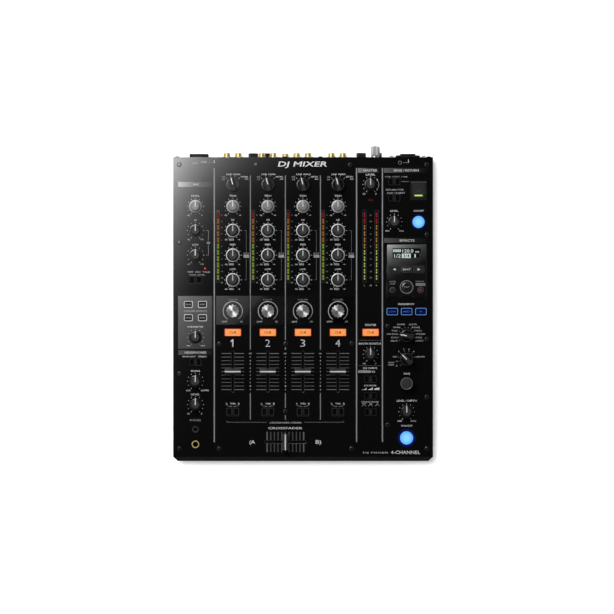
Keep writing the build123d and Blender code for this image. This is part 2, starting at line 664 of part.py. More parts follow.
def power_frame():
    """The frame round the power rocker, with a bore on each side for its pivot."""
    frame = box(INLET_X - 7.65, INLET_X + 7.65, REAR_Y, REAR_Y + 2.0, POWER_Z - 11.5, POWER_Z + 11.5)
    inside = box(INLET_X - 6.6, INLET_X + 6.6, REAR_Y - 16, REAR_Y, POWER_Z - 10, POWER_Z + 10)
    well = box(INLET_X - 5.5, INLET_X + 5.5, REAR_Y - 14, REAR_Y + 3, POWER_Z - 9.2, POWER_Z + 9.2)
    pivot = Pos(INLET_X, REAR_Y - 3, POWER_Z) * Rot(0, 90, 0) * Cylinder(ROCKER_PIVOT_R + 0.05, 12.4)
    return frame + inside - well - pivot


def power_switch():
    """The rocker, at rest with its upper end pressed in."""
    face = Polyline(
        (0, 2.2, -8.6), (0, 3.6, 0), (0, 2.2, 8.6), (0, -3.5, 7.4), (0, -3.5, -7.4), close=True,
    )
    body = extrude(Pos(-5.25, 0, 0) * make_face(face), amount=10.5, dir=(1, 0, 0))
    pivot = Rot(0, 90, 0) * Cylinder(ROCKER_PIVOT_R, 12.2)
    return Pos(INLET_X, REAR_Y - 3, POWER_Z) * Rot(ROCKER_TILT, 0, 0) * (body + pivot)


def usb_device_port():
    """The square port for the computer's lead."""
    shell = box(USB_B_X - 6, USB_B_X + 6, REAR_Y - 16, REAR_Y + 0.4, USB_B_Z - 5.5, USB_B_Z + 5.5)
    return shell - box(USB_B_X - 4.25, USB_B_X + 4.25, REAR_Y - 9, REAR_Y + 1, USB_B_Z - 3.9, USB_B_Z + 3.9)


def ground_post():
    """The earth terminal: a washer and a knurled thumb nut on a stud, the furthest point back."""
    tip = OVERALL_DEPTH / 2
    washer = rod_back(GROUND_X, GROUND_Z, REAR_Y, REAR_Y + 2.0, 5.0)
    nut = rod_back(GROUND_X, GROUND_Z, REAR_Y + 2.0, tip - 1.2, GROUND_R)
    stud = rod_back(GROUND_X, GROUND_Z, REAR_PLATE_Y - 8, tip, 2.0)
    return washer + nut + stud


def jack_sockets():
    """Every socket but the phono jacks, each one a solid of its own."""
    made = [phone_jack_rear(x, z) for x, z in phone_jack_table()] + [xlr_output(x) for x in XLR_X]
    made += [
        phone_jack_top(PHONES_Y, PHONE_BORE_R, PHONE_DEPTH, 5.3, 5.3, 12.0),
        phone_jack_top(MINI_PHONES_Y, MINI_BORE_R, MINI_DEPTH, 3.7, 3.7, 8.0),
    ]
    made += [combo_input(), mains_inlet(), power_frame(), usb_device_port(), ground_post(), usb_frame(), usb_socket()]
    return made


# ---- Boards ----

CONTROL_BOARD = (-150.0, 150.0, -182.0, 154.0)
MAIN_BOARD = (-145.0, 52.0, -120.0, 140.0)
POWER_BOARD = (68.0, 150.0, -60.0, 125.0)


def board_posts(area):
    """(x, y) of the four posts that a board stands on."""
    x0, x1, y0, y1 = area
    return [(x, y) for x in (x0 + 6, x1 - 6) for y in (y0 + 6, y1 - 6)]


def control_board():
    """The board behind the panel, with its spacers, switch bodies, tact switches and the display module on it."""
    x0, x1, y0, y1 = CONTROL_BOARD
    board = box(x0, x1, y0, y1, BOARD_TOP - BOARD_THICK, BOARD_TOP)
    board -= box(LEFT_X - 20, LEFT_X + 9, y0 - 1, MINI_PHONES_Y + 6, BOARD_TOP - 5, BOARD_TOP + 5)
    board -= block(USB_X, USB_Y, BOARD_TOP - 5, (22, 16, 10))
    board = cut_all(board, [rod(x, y, BOARD_TOP - 5, BOARD_TOP + 5, SCREW_HOLE_R) for x, y in INNER_SCREWS])
    made = [board]
    for x, y in INNER_SCREWS:
        made.append(rod(x, y, BOARD_TOP, PANEL_UNDER, 3.4) - rod(x, y, BOARD_TOP - 1, PANEL_UNDER + 1, SCREW_HOLE_R))
    for x, y in switch_table():
        body = block(x, y, BOARD_TOP, (12.0, 7.0, SWITCH_BODY_HEIGHT))
        made.append(body - block(x, y, BOARD_TOP + SWITCH_BODY_HEIGHT - 3, (10.0, 2.2, 4.0)))
    for x, y, width, depth in cue_table() + effect_button_table():
        made.append(block(x, y, BOARD_TOP, (6.0, 6.0, 2.6)))
    made.append(block(EFFECT_X, DISPLAY_Y, BOARD_TOP, (40.0, 18.0, 9.5)))
    return made


def main_board():
    """The audio board on the floor, with its processors, capacitors and cable headers."""
    x0, x1, y0, y1 = MAIN_BOARD
    top = MAIN_BOARD_UNDER + BOARD_THICK
    board = box(x0, x1, y0, y1, MAIN_BOARD_UNDER, top)
    chips = [block(x, y, top, (24, 24, 2.2)) for x, y in ((-100, 40), (-50, 40), (-75, -30))]
    small = [block(-120 + 22 * i, 95, top, (10, 7, 1.8)) for i in range(7)]
    cans = [rod(-130 + 18 * i, -85, top, top + 12, 5.0) for i in range(9)]
    headers = [block(x, 0, top, (6, 50, 8.5)) for x in (-128, 30)]
    ribbons = [ribbon(x, top + 8.5) for x in (-128, 30)]
    return [board, *chips, *small, *cans, *headers, *ribbons]


def ribbon(x, z0):
    """A flat cable, 44 wide, that steps sideways on its way up to the control board."""
    z1 = BOARD_TOP - BOARD_THICK
    step, thick = 14.0, 0.9
    rise = (z1 - z0) / 3
    left = [(x, z0), (x, z0 + rise), (x + step, z0 + 2 * rise), (x + step, z1)]
    right = [(px + thick, pz) for px, pz in reversed(left)]
    section = make_face(Polyline(*[(px, -22, pz) for px, pz in left + right], close=True))
    return extrude(section, amount=44, dir=(0, 1, 0))


def power_supply():
    """The mains board: transformer, reservoir capacitors, coils and a finned heat sink."""
    x0, x1, y0, y1 = POWER_BOARD
    top = MAIN_BOARD_UNDER + BOARD_THICK
    board = box(x0, x1, y0, y1, MAIN_BOARD_UNDER, top)
    transformer = block(100, 20, top, (36, 42, 28)) + block(100, 20, top, (28, 54, 20))
    cans = [rod(85 + 22 * i, 95, top, top + 30, 9.0) for i in range(3)]
    coils = [block(135, 60 - 24 * i, top, (18, 14, 16)) for i in range(3)]
    sink = block(90, -40, top, (30, 4, 30))
    for i in range(6):
        sink += block(77 + 5.2 * i, -34, top, (1.6, 10, 30))
    return [board, transformer, *cans, *coils, sink]


def main():
    os.makedirs("parts", exist_ok=True)
    save("chassis", chassis())
    save("top_panel", top_panel())
    save("rear_panel", rear_panel())
    save("feet", feet())
    save("screws", screws())
    save("display_windows", display_windows())
    save("rca_jacks", rca_jacks())
    save("jack_sockets", jack_sockets())
    save("control_board", control_board())
    save("potentiometers", potentiometers())
    save("fader_units", fader_units())
    save("main_board", main_board())
    save("power_supply", power_supply())
    blanks = {kind: knob_blank(kind) for kind in ("bar", "fluted", "encoder", "silver", "dark", "ringed")}
    for name, (kind, x, y, turn) in knob_table().items():
        save(name, knob(blanks[kind], x, y, turn))
    for n, x in enumerate(CHANNEL_X, 1):
        save(f"ch{n}_fader", fader(x, FADER_Y, 0))
    save("crossfader", fader(CROSSFADER_X, CROSSFADER_Y, 90))
    save("cue_buttons", buttons(cue_table(), 2.4))
    save("effect_buttons", buttons(effect_button_table(), 2.0))
    save("slide_switches", slide_switches())
    save("usb_cover", usb_cover())
    save("power_switch", power_switch())


if __name__ == "__main__":
    main()
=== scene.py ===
import json
import math
from collections import namedtuple

import bmesh
import bpy
from mathutils import Matrix, Vector


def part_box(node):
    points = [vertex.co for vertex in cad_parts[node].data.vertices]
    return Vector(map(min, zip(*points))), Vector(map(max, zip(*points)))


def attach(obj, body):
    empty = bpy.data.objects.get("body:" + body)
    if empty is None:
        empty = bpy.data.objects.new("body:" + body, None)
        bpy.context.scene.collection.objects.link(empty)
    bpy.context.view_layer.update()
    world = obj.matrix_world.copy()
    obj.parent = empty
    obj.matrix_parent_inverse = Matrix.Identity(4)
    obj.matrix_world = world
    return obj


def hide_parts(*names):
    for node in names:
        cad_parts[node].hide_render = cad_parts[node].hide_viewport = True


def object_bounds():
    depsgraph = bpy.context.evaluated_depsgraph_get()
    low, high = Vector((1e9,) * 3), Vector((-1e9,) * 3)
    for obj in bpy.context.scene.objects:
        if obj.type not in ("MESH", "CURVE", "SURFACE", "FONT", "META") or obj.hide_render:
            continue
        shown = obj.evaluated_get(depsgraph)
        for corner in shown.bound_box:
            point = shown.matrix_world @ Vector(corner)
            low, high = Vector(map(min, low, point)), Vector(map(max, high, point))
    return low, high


# A four-channel DJ mixer, seen from straight above on a white table.
# Lengths here are in millimetres, in the frame of the CAD parts, and become metres as a mesh is made.
# +X is to the player's right, +Y points to the jacks at the back and +Z is up.

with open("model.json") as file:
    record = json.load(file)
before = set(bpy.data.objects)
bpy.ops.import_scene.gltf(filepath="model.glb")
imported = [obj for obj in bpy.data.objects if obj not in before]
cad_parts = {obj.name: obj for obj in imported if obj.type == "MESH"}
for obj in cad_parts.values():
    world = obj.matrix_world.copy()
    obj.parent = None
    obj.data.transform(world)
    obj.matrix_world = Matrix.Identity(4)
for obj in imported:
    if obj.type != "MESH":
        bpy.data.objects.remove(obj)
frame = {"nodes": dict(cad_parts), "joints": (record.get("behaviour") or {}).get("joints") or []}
CAD_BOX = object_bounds()
MM = 0.001

# Heights and outline, from the CAD parts
PANEL_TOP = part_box("top_panel")[1].z / MM
CASE_LOW, CASE_HIGH = (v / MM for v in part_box("chassis"))
REAR_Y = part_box("rear_panel")[1].y / MM
BACK_Y = CAD_BOX[1].y / MM
INK_Z = PANEL_TOP + 0.05
FIELD_INK_Z = PANEL_TOP + 0.17
INK_THICKNESS = 0.04

# Columns and rows of controls
JOINT_AT = {j["child"]: Vector(j["pos_m"]) / MM for j in frame["joints"] if "pos_m" in j}
CHANNEL_X = [JOINT_AT[f"ch{n}_hi_knob"].x for n in range(1, 5)]
LEFT_X = JOINT_AT["mic_hi_knob"].x
MASTER_X = JOINT_AT["master_level_knob"].x
EFFECT_X = JOINT_AT["effect_selector"].x
SEND_X = JOINT_AT["send_level_knob"].x
USB_X = JOINT_AT["usb_cover"].x
CROSS_X = (CHANNEL_X[1] + CHANNEL_X[2]) / 2
SELECT_Y, TRIM_Y, HI_Y, MID_Y, LOW_Y, COLOR_Y = (
    JOINT_AT[f"ch1_{control}"].y
    for control in ("input_selector", "trim_knob", "hi_knob", "mid_knob", "low_knob", "color_knob")
)
CUE_Y = -35.5
NUMBER_Y = -48.6
FADER_Y = -83.7
FADER_STEP = 4.45
ASSIGN_Y = -133.1
CROSS_Y = -170.4
METER_Y = 70.6
METER_OFFSET = -18.2
SEGMENT_STEP = 7.7
MASTER_METER_OFFSET = 7.4
BEAT_Y = 42.1
BEAT_OFFSET = 15.0
TAP_Y = 20.4
SMALL_Y = 16.6
SMALL_OFFSET = 17.3

Piece = namedtuple("Piece", "verts faces")


# ---- Solids, each a list of points and a list of faces ----


def loft(rings, loop=False):
    """A skin over rings of equally many points. Its ends are flat, or joined to each other in a loop."""
    n = len(rings[0])
    verts = [tuple(p) for ring in rings for p in ring]
    faces = []
    last = len(rings) if loop else len(rings) - 1
    for k in range(last):
        a, b = k * n, (k + 1) % len(rings) * n
        faces += [(a + i, a + (i + 1) % n, b + (i + 1) % n, b + i) for i in range(n)]
    if not loop:
        faces.append(tuple(reversed(range(n))))
        faces.append(tuple(range(len(verts) - n, len(verts))))
    return Piece(verts, faces)


def round_ring(radius, z, count=48, flutes=0, depth=0.0):
    """A circle of points, or one whose radius dips by depth at each flute."""
    ring = []
    for i in range(count):
        a = 2 * math.pi * i / count
        r = radius - depth * (0.5 - 0.5 * math.cos(flutes * a))
        ring.append((r * math.cos(a), r * math.sin(a), z))
    return ring


def hex_ring(radius, z):
    """Points on a hexagon, with its corners at the given radius."""
    count = 24
    ring = []
    for i in range(count):
        a = 2 * math.pi * i / count
        r = radius * math.cos(math.pi / 6) / math.cos(a % (math.pi / 3) - math.pi / 6)
        ring.append((r * math.cos(a), r * math.sin(a), z))
    return ring


def lathe(profile, count=48, flutes=0, loop=False):
    """A turned solid from (radius, z) or (radius, z, flute depth). A loop goes up outside, down inside."""
    rings = [round_ring(p[0], p[1], count, flutes, p[2] if len(p) > 2 else 0.0) for p in profile]
    return loft(rings, loop)


def rounded(width, depth, radius, z):
    """The outline of a rectangle with round corners."""
    steps = 4
    radius = max(min(radius, width / 2 - 0.01, depth / 2 - 0.01), 0.02)
    ring = []
    for sx, sy, start in ((1, 1, 0), (-1, 1, 90), (-1, -1, 180), (1, -1, 270)):
        for i in range(steps + 1):
            x, y = polar(radius, start + 90 * i / steps)
            ring.append((sx * (width / 2 - radius) + x, sy * (depth / 2 - radius) + y, z))
    return ring


def pad(width, depth, z0, z1, radius=0.5, bevel=0.2):
    """A block with round corners and a bevel round its top."""
    return loft(
        [
            rounded(width, depth, radius, z0),
            rounded(width, depth, radius, z1 - bevel),
            rounded(width - 0.6 * bevel, depth - 0.6 * bevel, radius, z1 - 0.3 * bevel),
            rounded(width - 2 * bevel, depth - 2 * bevel, radius, z1),
        ]
    )


def frame_ring(width, depth, wall, z0, z1, radius=0.5):
    """A rectangular ring with round corners."""
    w, d = width - 2 * wall, depth - 2 * wall
    return loft(
        [
            rounded(width, depth, radius, z0),
            rounded(width, depth, radius, z1),
            rounded(w, d, radius - 0.6 * wall, z1),
            rounded(w, d, radius - 0.6 * wall, z0),
        ],
        loop=True,
    )


def cut(solid, cutters):
    """The solid with the cutters' space taken out of it."""
    made = []
    for part in [solid, *cutters]:
        mesh = bpy.data.meshes.new("cutting")
        mesh.from_pydata(part.verts, [], part.faces)
        made.append(bpy.data.objects.new("cutting", mesh))
        bpy.context.scene.collection.objects.link(made[-1])
    for cutter in made[1:]:
        modifier = made[0].modifiers.new("cut", "BOOLEAN")
        modifier.object = cutter
    mesh = made[0].evaluated_get(bpy.context.evaluated_depsgraph_get()).to_mesh()
    result = Piece([tuple(v.co) for v in mesh.vertices], [tuple(face.vertices) for face in mesh.polygons])
    for piece in made:
        bpy.data.meshes.remove(piece.data)
    return result


def polar(radius, angle):
    """The point at a radius and an angle in degrees, anticlockwise from +X."""
    return radius * math.cos(math.radians(angle)), radius * math.sin(math.radians(angle))


def prism(points, z0, z1):
    """A straight-sided solid over a flat outline that runs anticlockwise."""
    return loft([[(x, y, z0) for x, y in points], [(x, y, z1) for x, y in points]])


def stroke(x0, y0, x1, y1, width, z0, z1):
    """A straight line with thickness."""
    along = Vector((x1 - x0, y1 - y0)).normalized() * width / 2
    sx, sy = -along.y, along.x
    return prism([(x0 - sx, y0 - sy), (x1 - sx, y1 - sy), (x1 + sx, y1 + sy), (x0 + sx, y0 + sy)], z0, z1)


def arc(radius, width, start, end, z0, z1, steps=36):
    """A curved line between two angles in degrees, anticlockwise from +X."""
    angles = [start + (end - start) * i / steps for i in range(steps + 1)]
    outer = [polar(radius + width / 2, angle) for angle in angles]
    inner = [polar(radius - width / 2, angle) for angle in reversed(angles)]
    return prism(outer + inner, z0, z1)


LETTERS = {}


def lettering(text, weight=0.012):
    """The text as thin solids with capitals one unit high, centred on the origin, and its width."""
    if (text, weight) not in LETTERS:
        curve = bpy.data.curves.new("lettering", "FONT")
        curve.body = text
        curve.size = 1.0
        curve.resolution_u = 2
        curve.extrude = 0.5
        curve.offset = weight
        curve.align_x = "CENTER"
        holder = bpy.data.objects.new("lettering", curve)
        bpy.context.scene.collection.objects.link(holder)
        bpy.context.view_layer.update()
        mesh = bpy.data.meshes.new_from_object(holder.evaluated_get(bpy.context.evaluated_depsgraph_get()))
        solid = bmesh.new()
        solid.from_mesh(mesh)
        bmesh.ops.remove_doubles(solid, verts=solid.verts, dist=1e-4)
        height = 0.7
        verts = [(v.co.x / height, v.co.y / height - 0.5, v.co.z) for v in solid.verts]
        faces = [tuple(v.index for v in f.verts) for f in solid.faces]
        solid.free()
        bpy.data.objects.remove(holder)
        bpy.data.meshes.remove(mesh)
        bpy.data.curves.remove(curve)
        xs = [v[0] for v in verts]
        middle = (min(xs) + max(xs)) / 2
        LETTERS[text, weight] = Piece([(x - middle, y, z) for x, y, z in verts], faces), max(xs) - min(xs)
    return LETTERS[text, weight]


def at(x=0.0, y=0.0, z=0.0, turn=0.0):
    """A placement: turned about +Z by degrees, then moved."""
    return Matrix.Translation((x, y, z)) @ Matrix.Rotation(math.radians(turn), 4, "Z")


def moved(solid, place):
    """The solid at a place."""
    return Piece([tuple(place @ Vector(v)) for v in solid.verts], solid.faces)


def at_back(x, z, y=0.0):
    """A placement on the rear: the solid's +Z comes to point to +Y, and its +Y up."""
    turn = Matrix(((-1, 0, 0, 0), (0, 0, 1, 0), (0, 1, 0, 0), (0, 0, 0, 1)))
    return Matrix.Translation((x, y, z)) @ turn


class Shape:
    """A piece in the making: solids in millimetres, each with its own material."""

    def __init__(self, name):
        self.name = name
        self.verts, self.faces, self.slots, self.materials = [], [], [], []

    def add(self, solid, material, place=None):
        if material not in self.materials:
            self.materials.append(material)
        first = len(self.verts)
        place = place or Matrix.Identity(4)
        self.verts += [(place @ Vector(v)) * MM for v in solid.verts]
        self.faces += [[first + i for i in face] for face in solid.faces]
        self.slots += [self.materials.index(material)] * len(solid.faces)
        return self

    def write(self, text, x, y, height, material, width=None, z=INK_Z, slant=0.0, weight=0.012):
        """Lettering with capitals of the given height, stretched to a width where one is given."""
        solid, natural = lettering(text, weight)
        wide = (width / natural) if width else height * 1.12
        size = Matrix.Diagonal((wide, height, INK_THICKNESS, 1))
        size[0][1] = slant * height
        place = Matrix.Translation((x, y, z - INK_THICKNESS / 2 + 0.03))
        return self.add(solid, material, place @ size)

    def stand(self, x, y, *pairs, turn=0.0):
        """Solids that stand on the panel at x, y, each followed by its material."""
        for solid, material in zip(pairs[::2], pairs[1::2]):
            self.add(solid, material, at(x, y, PANEL_TOP, turn))

    def labels(self, x, y, *rows, z=INK_Z):
        """Several words, each (text, dx, dy, height, material) and perhaps a width, measured from x, y."""
        for text, dx, dy, *rest in rows:
            self.write(text, x + dx, y + dy, *rest, z=z)

    def lines(self, x, y, width, material, *rows):
        """Several lines of one width on the panel, each (x0, y0, x1, y1), measured from x, y."""
        for x0, y0, x1, y1 in rows:
            self.add(stroke(x + x0, y + y0, x + x1, y + y1, width, PANEL_TOP, INK_Z), material)

    def build(self, body, slot, *replaced):
        mesh = bpy.data.meshes.new(self.name)
        mesh.from_pydata(self.verts, [], self.faces)
        for material in self.materials:
            mesh.materials.append(material)
        mesh.polygons.foreach_set("material_index", self.slots)
        mesh.polygons.foreach_set("use_smooth", [True] * len(mesh.polygons))
        mesh.set_sharp_from_angle(angle=math.radians(28))
        for face in mesh.polygons:
            if len(face.vertices) > 4:
                for loop in face.loop_indices:
                    mesh.edges[mesh.loops[loop].edge_index].use_edge_sharp = True
        piece = bpy.data.objects.new(self.name, mesh)
        bpy.context.scene.collection.objects.link(piece)
        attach(piece, body)
        if replaced:
            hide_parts(*replaced)
        return piece


# ---- Materials ----


class Nodes:
    """The nodes of a material, a light or the world, in the making."""

    def __init__(self, owner):
        owner.use_nodes = True
        self.tree = owner.node_tree

    def fill(self, made, values):
        """Sets each socket named in values to its number or colour, or links it to a socket."""
        for name, value in values.items():
            if isinstance(value, bpy.types.NodeSocket):
                self.tree.links.new(value, made.inputs[name])
            else:
                made.inputs[name].default_value = value

    def new(self, kind, values=None, **settings):
        """A new node, with its settings and its sockets' values."""
        made = self.tree.nodes.new(f"ShaderNode{kind}")
        for name, value in settings.items():
            setattr(made, name, value)
        self.fill(made, values or {})
        return made

    def maths(self, operation, *values):
        """A maths node on numbers or sockets."""
        return self.new("Math", dict(enumerate(values)), operation=operation).outputs[0]

    def noise(self, scale, detail=3.0):
        """A noise texture fixed to the piece, at so many features a metre."""
        where = self.new("TexCoord").outputs["Object"]
        return self.new("TexNoise", {"Vector": where, "Scale": scale, "Detail": detail}).outputs["Fac"]

    def spread(self, source, low, high):
        """Maps a noise to a range."""
        values = {"From Min": 0.3, "From Max": 0.7, "To Min": low, "To Max": high, "Value": source}
        return self.new("MapRange", values).outputs["Result"]

    def blend(self, factor, first, second):
        """A colour between two others."""
        return self.new("Mix", {0: factor, 6: (*first, 1), 7: (*second, 1)}, data_type="RGBA").outputs[2]


def new_material(name):
    """A material, its shader and its nodes."""
    made = bpy.data.materials.new(name)
    nodes = Nodes(made)
    return made, nodes.tree.nodes["Principled BSDF"], nodes


def surface(name, colour, roughness, metallic=0.0, specular=0.5, mottle=0.12, uneven=0.05, grain=2500.0,
            bump=0.02, anisotropic=0.0):
    """Moulded, painted or plated: its colour and gloss drift in patches, and it has a fine grain."""
    made, shader, nodes = new_material(name)
    dark, light = [c * (1 - mottle) for c in colour], [min(1, c * (1 + mottle)) for c in colour]
    fine = nodes.noise(grain, 2.0)
    nodes.fill(shader, {
        "Metallic": metallic,
        "Specular IOR Level": specular,
        "Anisotropic": anisotropic,
        "Base Color": nodes.blend(nodes.noise(60.0), dark, light),
        "Roughness": nodes.spread(fine, roughness - uneven, roughness + uneven),
    })
    if bump:
        relief = nodes.new("Bump", {"Strength": bump, "Distance": 0.0001, "Height": fine})
        nodes.fill(shader, {"Normal": relief.outputs["Normal"]})
    if anisotropic:
        tangent = nodes.new("Tangent", direction_type="RADIAL", axis="Z")
        nodes.fill(shader, {"Anisotropic Rotation": 0.25, "Tangent": tangent.outputs["Tangent"]})
    return made


def lamp(name, colour, strength, body=(0.003, 0.003, 0.004), edge=None, specular=0.5):
    """Lit from inside. With an edge colour, the light fades to it away from the piece's middle."""
    made, shader, nodes = new_material(name)
    if edge:
        where = nodes.new("TexCoord").outputs["Generated"]
        away = nodes.new("VectorMath", {0: where, 1: (0.5, 0.5, 1.0)}, operation="DISTANCE")
        values = {"From Min": 0.12, "From Max": 0.62, "Value": away.outputs["Value"]}
        fade = nodes.new("MapRange", values, interpolation_type="SMOOTHSTEP").outputs["Result"]
    else:
        fade = nodes.noise(500.0)
    nodes.fill(shader, {
        "Base Color": (*body, 1),
        "Emission Strength": strength,
        "Emission Color": nodes.blend(fade, colour, edge or [c * 0.85 for c in colour]),
        "Specular IOR Level": specular,
        "Roughness": nodes.spread(nodes.noise(1800.0), 0.25, 0.35),
    })
    return made


def faded_bar(name, left, right):
    """A printed bar that fades from one grey to another, from left to right."""
    made, shader, nodes = new_material(name)
    where = nodes.new("TexCoord").outputs["Generated"]
    ramp = nodes.new("ValToRGB", {"Fac": nodes.new("SeparateXYZ", {"Vector": where}).outputs["X"]})
    stops = ramp.color_ramp.elements
    middle = math.sqrt(left * right)
    stops[0].color = (left, left, left, 1)
    stops[1].color = (right, right, right, 1)
    stops.new(0.5).color = (middle, middle, middle, 1)
    gloss = nodes.spread(nodes.noise(2500.0), 0.09, 0.13)
    nodes.fill(shader, {"Base Color": ramp.outputs["Color"], "Roughness": gloss})
    return made


PANEL = surface("panel_paint", (0.0048, 0.0048, 0.005), 0.1, mottle=0.08, uneven=0.015, bump=0.004)
CASE = surface("case_paint", (0.003, 0.003, 0.0032), 0.3, specular=0.06, mottle=0.1, bump=0.02)
ZONE, BLOCK = (
    surface(name, colour, 0.05, mottle=0.05, uneven=0.01, bump=0.001)
    for name, colour in (("zone_gloss", (0.0035, 0.0035, 0.0037)), ("block_gloss", (0.012, 0.012, 0.0125)))
)
INK, TICK_INK, DIM_INK = (
    surface(f"{name}_ink", (grey, grey, grey + 0.01), 0.5, bump=0.03, mottle=0.06)
    for name, grey in (("white", 0.66), ("tick", 0.42), ("grey", 0.26))
)
FADER_INK, FAINT_INK, SCALE_INK = (
    surface(f"{name}_ink", (grey, grey, blue), 0.5, bump=0.03)
    for name, grey, blue in (("fader", 0.17, 0.175), ("dark_grey", 0.1, 0.1), ("scale", 0.05, 0.052))
)
LINE_INK = surface("divider_ink", (0.26, 0.26, 0.27), 0.45, bump=0.03)
INNER_LINE_INK = surface("inner_divider_ink", (0.2, 0.2, 0.205), 0.45, bump=0.03)
BLACK = surface("black_plastic", (0.006, 0.006, 0.0065), 0.42, specular=0.15, grain=3000.0, bump=0.06)
SOOT = surface("dark_recess", (0.004, 0.004, 0.004), 0.6, specular=0.01, bump=0.05)
GLOSS_BLACK = surface("gloss_black", (0.006, 0.006, 0.007), 0.16, uneven=0.03, bump=0.01)
GRIP = surface("grip_rubber", (0.009, 0.009, 0.0095), 0.45, specular=0.2, grain=3500.0, bump=0.06)
CAP_GREY = surface("cap_grey", (0.024, 0.024, 0.025), 0.5, specular=0.3, grain=3500.0, bump=0.04)
BAR_GREY = surface("bar_grey", (0.018, 0.018, 0.0185), 0.45, specular=0.2, grain=3500.0, bump=0.04)
FADER_GREY = surface("fader_plastic", (0.038, 0.038, 0.04), 0.42, specular=0.3, grain=3500.0, bump=0.05)
WHITE = surface("pointer_white", (0.8, 0.8, 0.8), 0.4, bump=0.02)
SOFT_WHITE = surface("pointer_grey", (0.5, 0.5, 0.51), 0.4, bump=0.02)
SILVER = surface("silver_paint", (0.56, 0.56, 0.57), 0.3, metallic=0.8, grain=4000.0, bump=0.03)
SILVER_CAP = surface("silver_cap", (0.18, 0.18, 0.185), 0.36, metallic=0.1, grain=4000.0, bump=0.02)
SILVER_MATT = surface("silver_matt", (0.25, 0.25, 0.26), 0.4, grain=4000.0, bump=0.02)
RING_SILVER = surface("ring_silver", (0.9, 0.9, 0.91), 0.3, metallic=0.6, bump=0.01)
CHROME = surface("chrome", (0.6, 0.6, 0.62), 0.16, metallic=1.0, mottle=0.03, uneven=0.03, bump=0.0)
CHROME_TOP = surface(
    "spun_chrome", (0.5, 0.5, 0.51), 0.32, metallic=1.0, mottle=0.03, uneven=0.04, bump=0.0,
    anisotropic=0.92,
)
NICKEL = surface("matt_nickel", (0.5, 0.5, 0.51), 0.38, metallic=0.35, grain=1500.0, bump=0.02)
STEEL = surface("plated_steel", (0.6, 0.6, 0.61), 0.3, metallic=1.0, grain=1500.0, bump=0.03)
GOLD = surface("gold_plate", (0.6, 0.43, 0.16), 0.3, metallic=1.0, mottle=0.06, bump=0.01)
RING_GOLD = surface("ring_gold", (0.82, 0.63, 0.24), 0.35, metallic=0.4, mottle=0.06, bump=0.01)
DARK_STEEL = surface("black_steel", (0.07, 0.07, 0.073), 0.22, metallic=0.95, bump=0.02)
SPUN_DARK = surface(
    "spun_dark_steel", (0.085, 0.085, 0.088), 0.28, metallic=1.0, mottle=0.03, uneven=0.03, bump=0.0,
    anisotropic=0.9,
)
DARK_RIM = surface("dark_rim", (0.19, 0.19, 0.195), 0.25, metallic=1.0, bump=0.01)
SLOT_LIP = surface("slot_lip", (0.055, 0.055, 0.057), 0.25, metallic=1.0, bump=0.01)
METER_CAP = surface("meter_cap", (0.16, 0.16, 0.165), 0.1, metallic=0.95, uneven=0.02, bump=0.0)
RIM_STEEL = surface("rim_steel", (0.26, 0.26, 0.27), 0.25, metallic=1.0, bump=0.01)
RUBBER = surface("foot_rubber", (0.014, 0.014, 0.014), 0.7, grain=1800.0, bump=0.2)
BOARD = surface("circuit_board", (0.02, 0.1, 0.045), 0.35, grain=900.0, bump=0.1)
SCREEN = surface("screen_dark", (0.004, 0.005, 0.005), 0.1, uneven=0.02, bump=0.0)
WINDOW = surface(
    "window_gloss", (0.0045, 0.0045, 0.005), 0.05, specular=0.8, mottle=0.03, uneven=0.01, bump=0.0
)
LIT_GLYPH = lamp("display_lit", (0.68, 0.8, 0.77), 0.9)
CUE_LIT = lamp("cue_lit", (1.0, 0.34, 0.095), 0.95, body=(0.3, 0.1, 0.02), edge=(1.0, 0.19, 0.06))
CUE_RIM = lamp("cue_rim", (0.12, 0.012, 0.001), 0.9)
CUE_TEXT = lamp("cue_letter", (0.12, 0.035, 0.004), 0.9)
BLUE_LIT = lamp("blue_lit", (0.25, 0.62, 1.0), 1.0, body=(0.02, 0.1, 0.3), edge=(0.05, 0.3, 0.95))
# Painted glow: a dim blue lit ring on the panel round each blue button stands in for the light the button throws
# there.
BLUE_HALO = lamp("blue_halo", (0.0, 0.005, 0.075), 0.9, specular=0.1)
BLUE_RING = lamp("blue_ring", (0.13, 0.32, 0.8), 1.0)
BLUE_TEXT = lamp("blue_text", (0.03, 0.09, 0.42), 1.0)
BLUE_WELL = lamp("blue_well", (0.0005, 0.0025, 0.035), 0.8, specular=0.03)
RED_LIT = lamp("red_lit", (0.8, 0.03, 0.03), 0.9)
RED_GLOW = lamp("red_glow", (0.3, 0.015, 0.015), 0.9)
RED_DIM = lamp("red_dim", (0.12, 0.003, 0.003), 0.8, specular=0.05)
GREEN_BAR = lamp("green_bar", (0.62, 0.84, 0.19), 1.0)
GREEN_GLOW = lamp("green_glow", (0.008, 0.03, 0.005), 0.8)


def meter_colours(name, **pairs):
    """The dim body and the hot middle of a meter's segments, for each colour of segment."""
    return {
        colour: [
            lamp(f"{name}_{colour}{part}", light, 1.0, specular=0.05)
            for part, light in zip(("", "_hot"), lights)
        ]
        for colour, lights in pairs.items()
    }


CHANNEL_METER = meter_colours(
    "meter",
    red=((0.11, 0.003, 0.003), (0.25, 0.008, 0.01)),
    orange=((0.14, 0.045, 0.002), (0.34, 0.14, 0.016)),
    green=((0.065, 0.11, 0.002), (0.26, 0.36, 0.04)),
)
MASTER_METER = meter_colours(
    "master_meter",
    red=((0.09, 0.002, 0.002), (0.42, 0.02, 0.02)),
    orange=((0.06, 0.016, 0.001), (0.56, 0.28, 0.08)),
    green=((0.028, 0.055, 0.001), (0.55, 0.68, 0.19)),
)


# ---- Printing on the panel ----


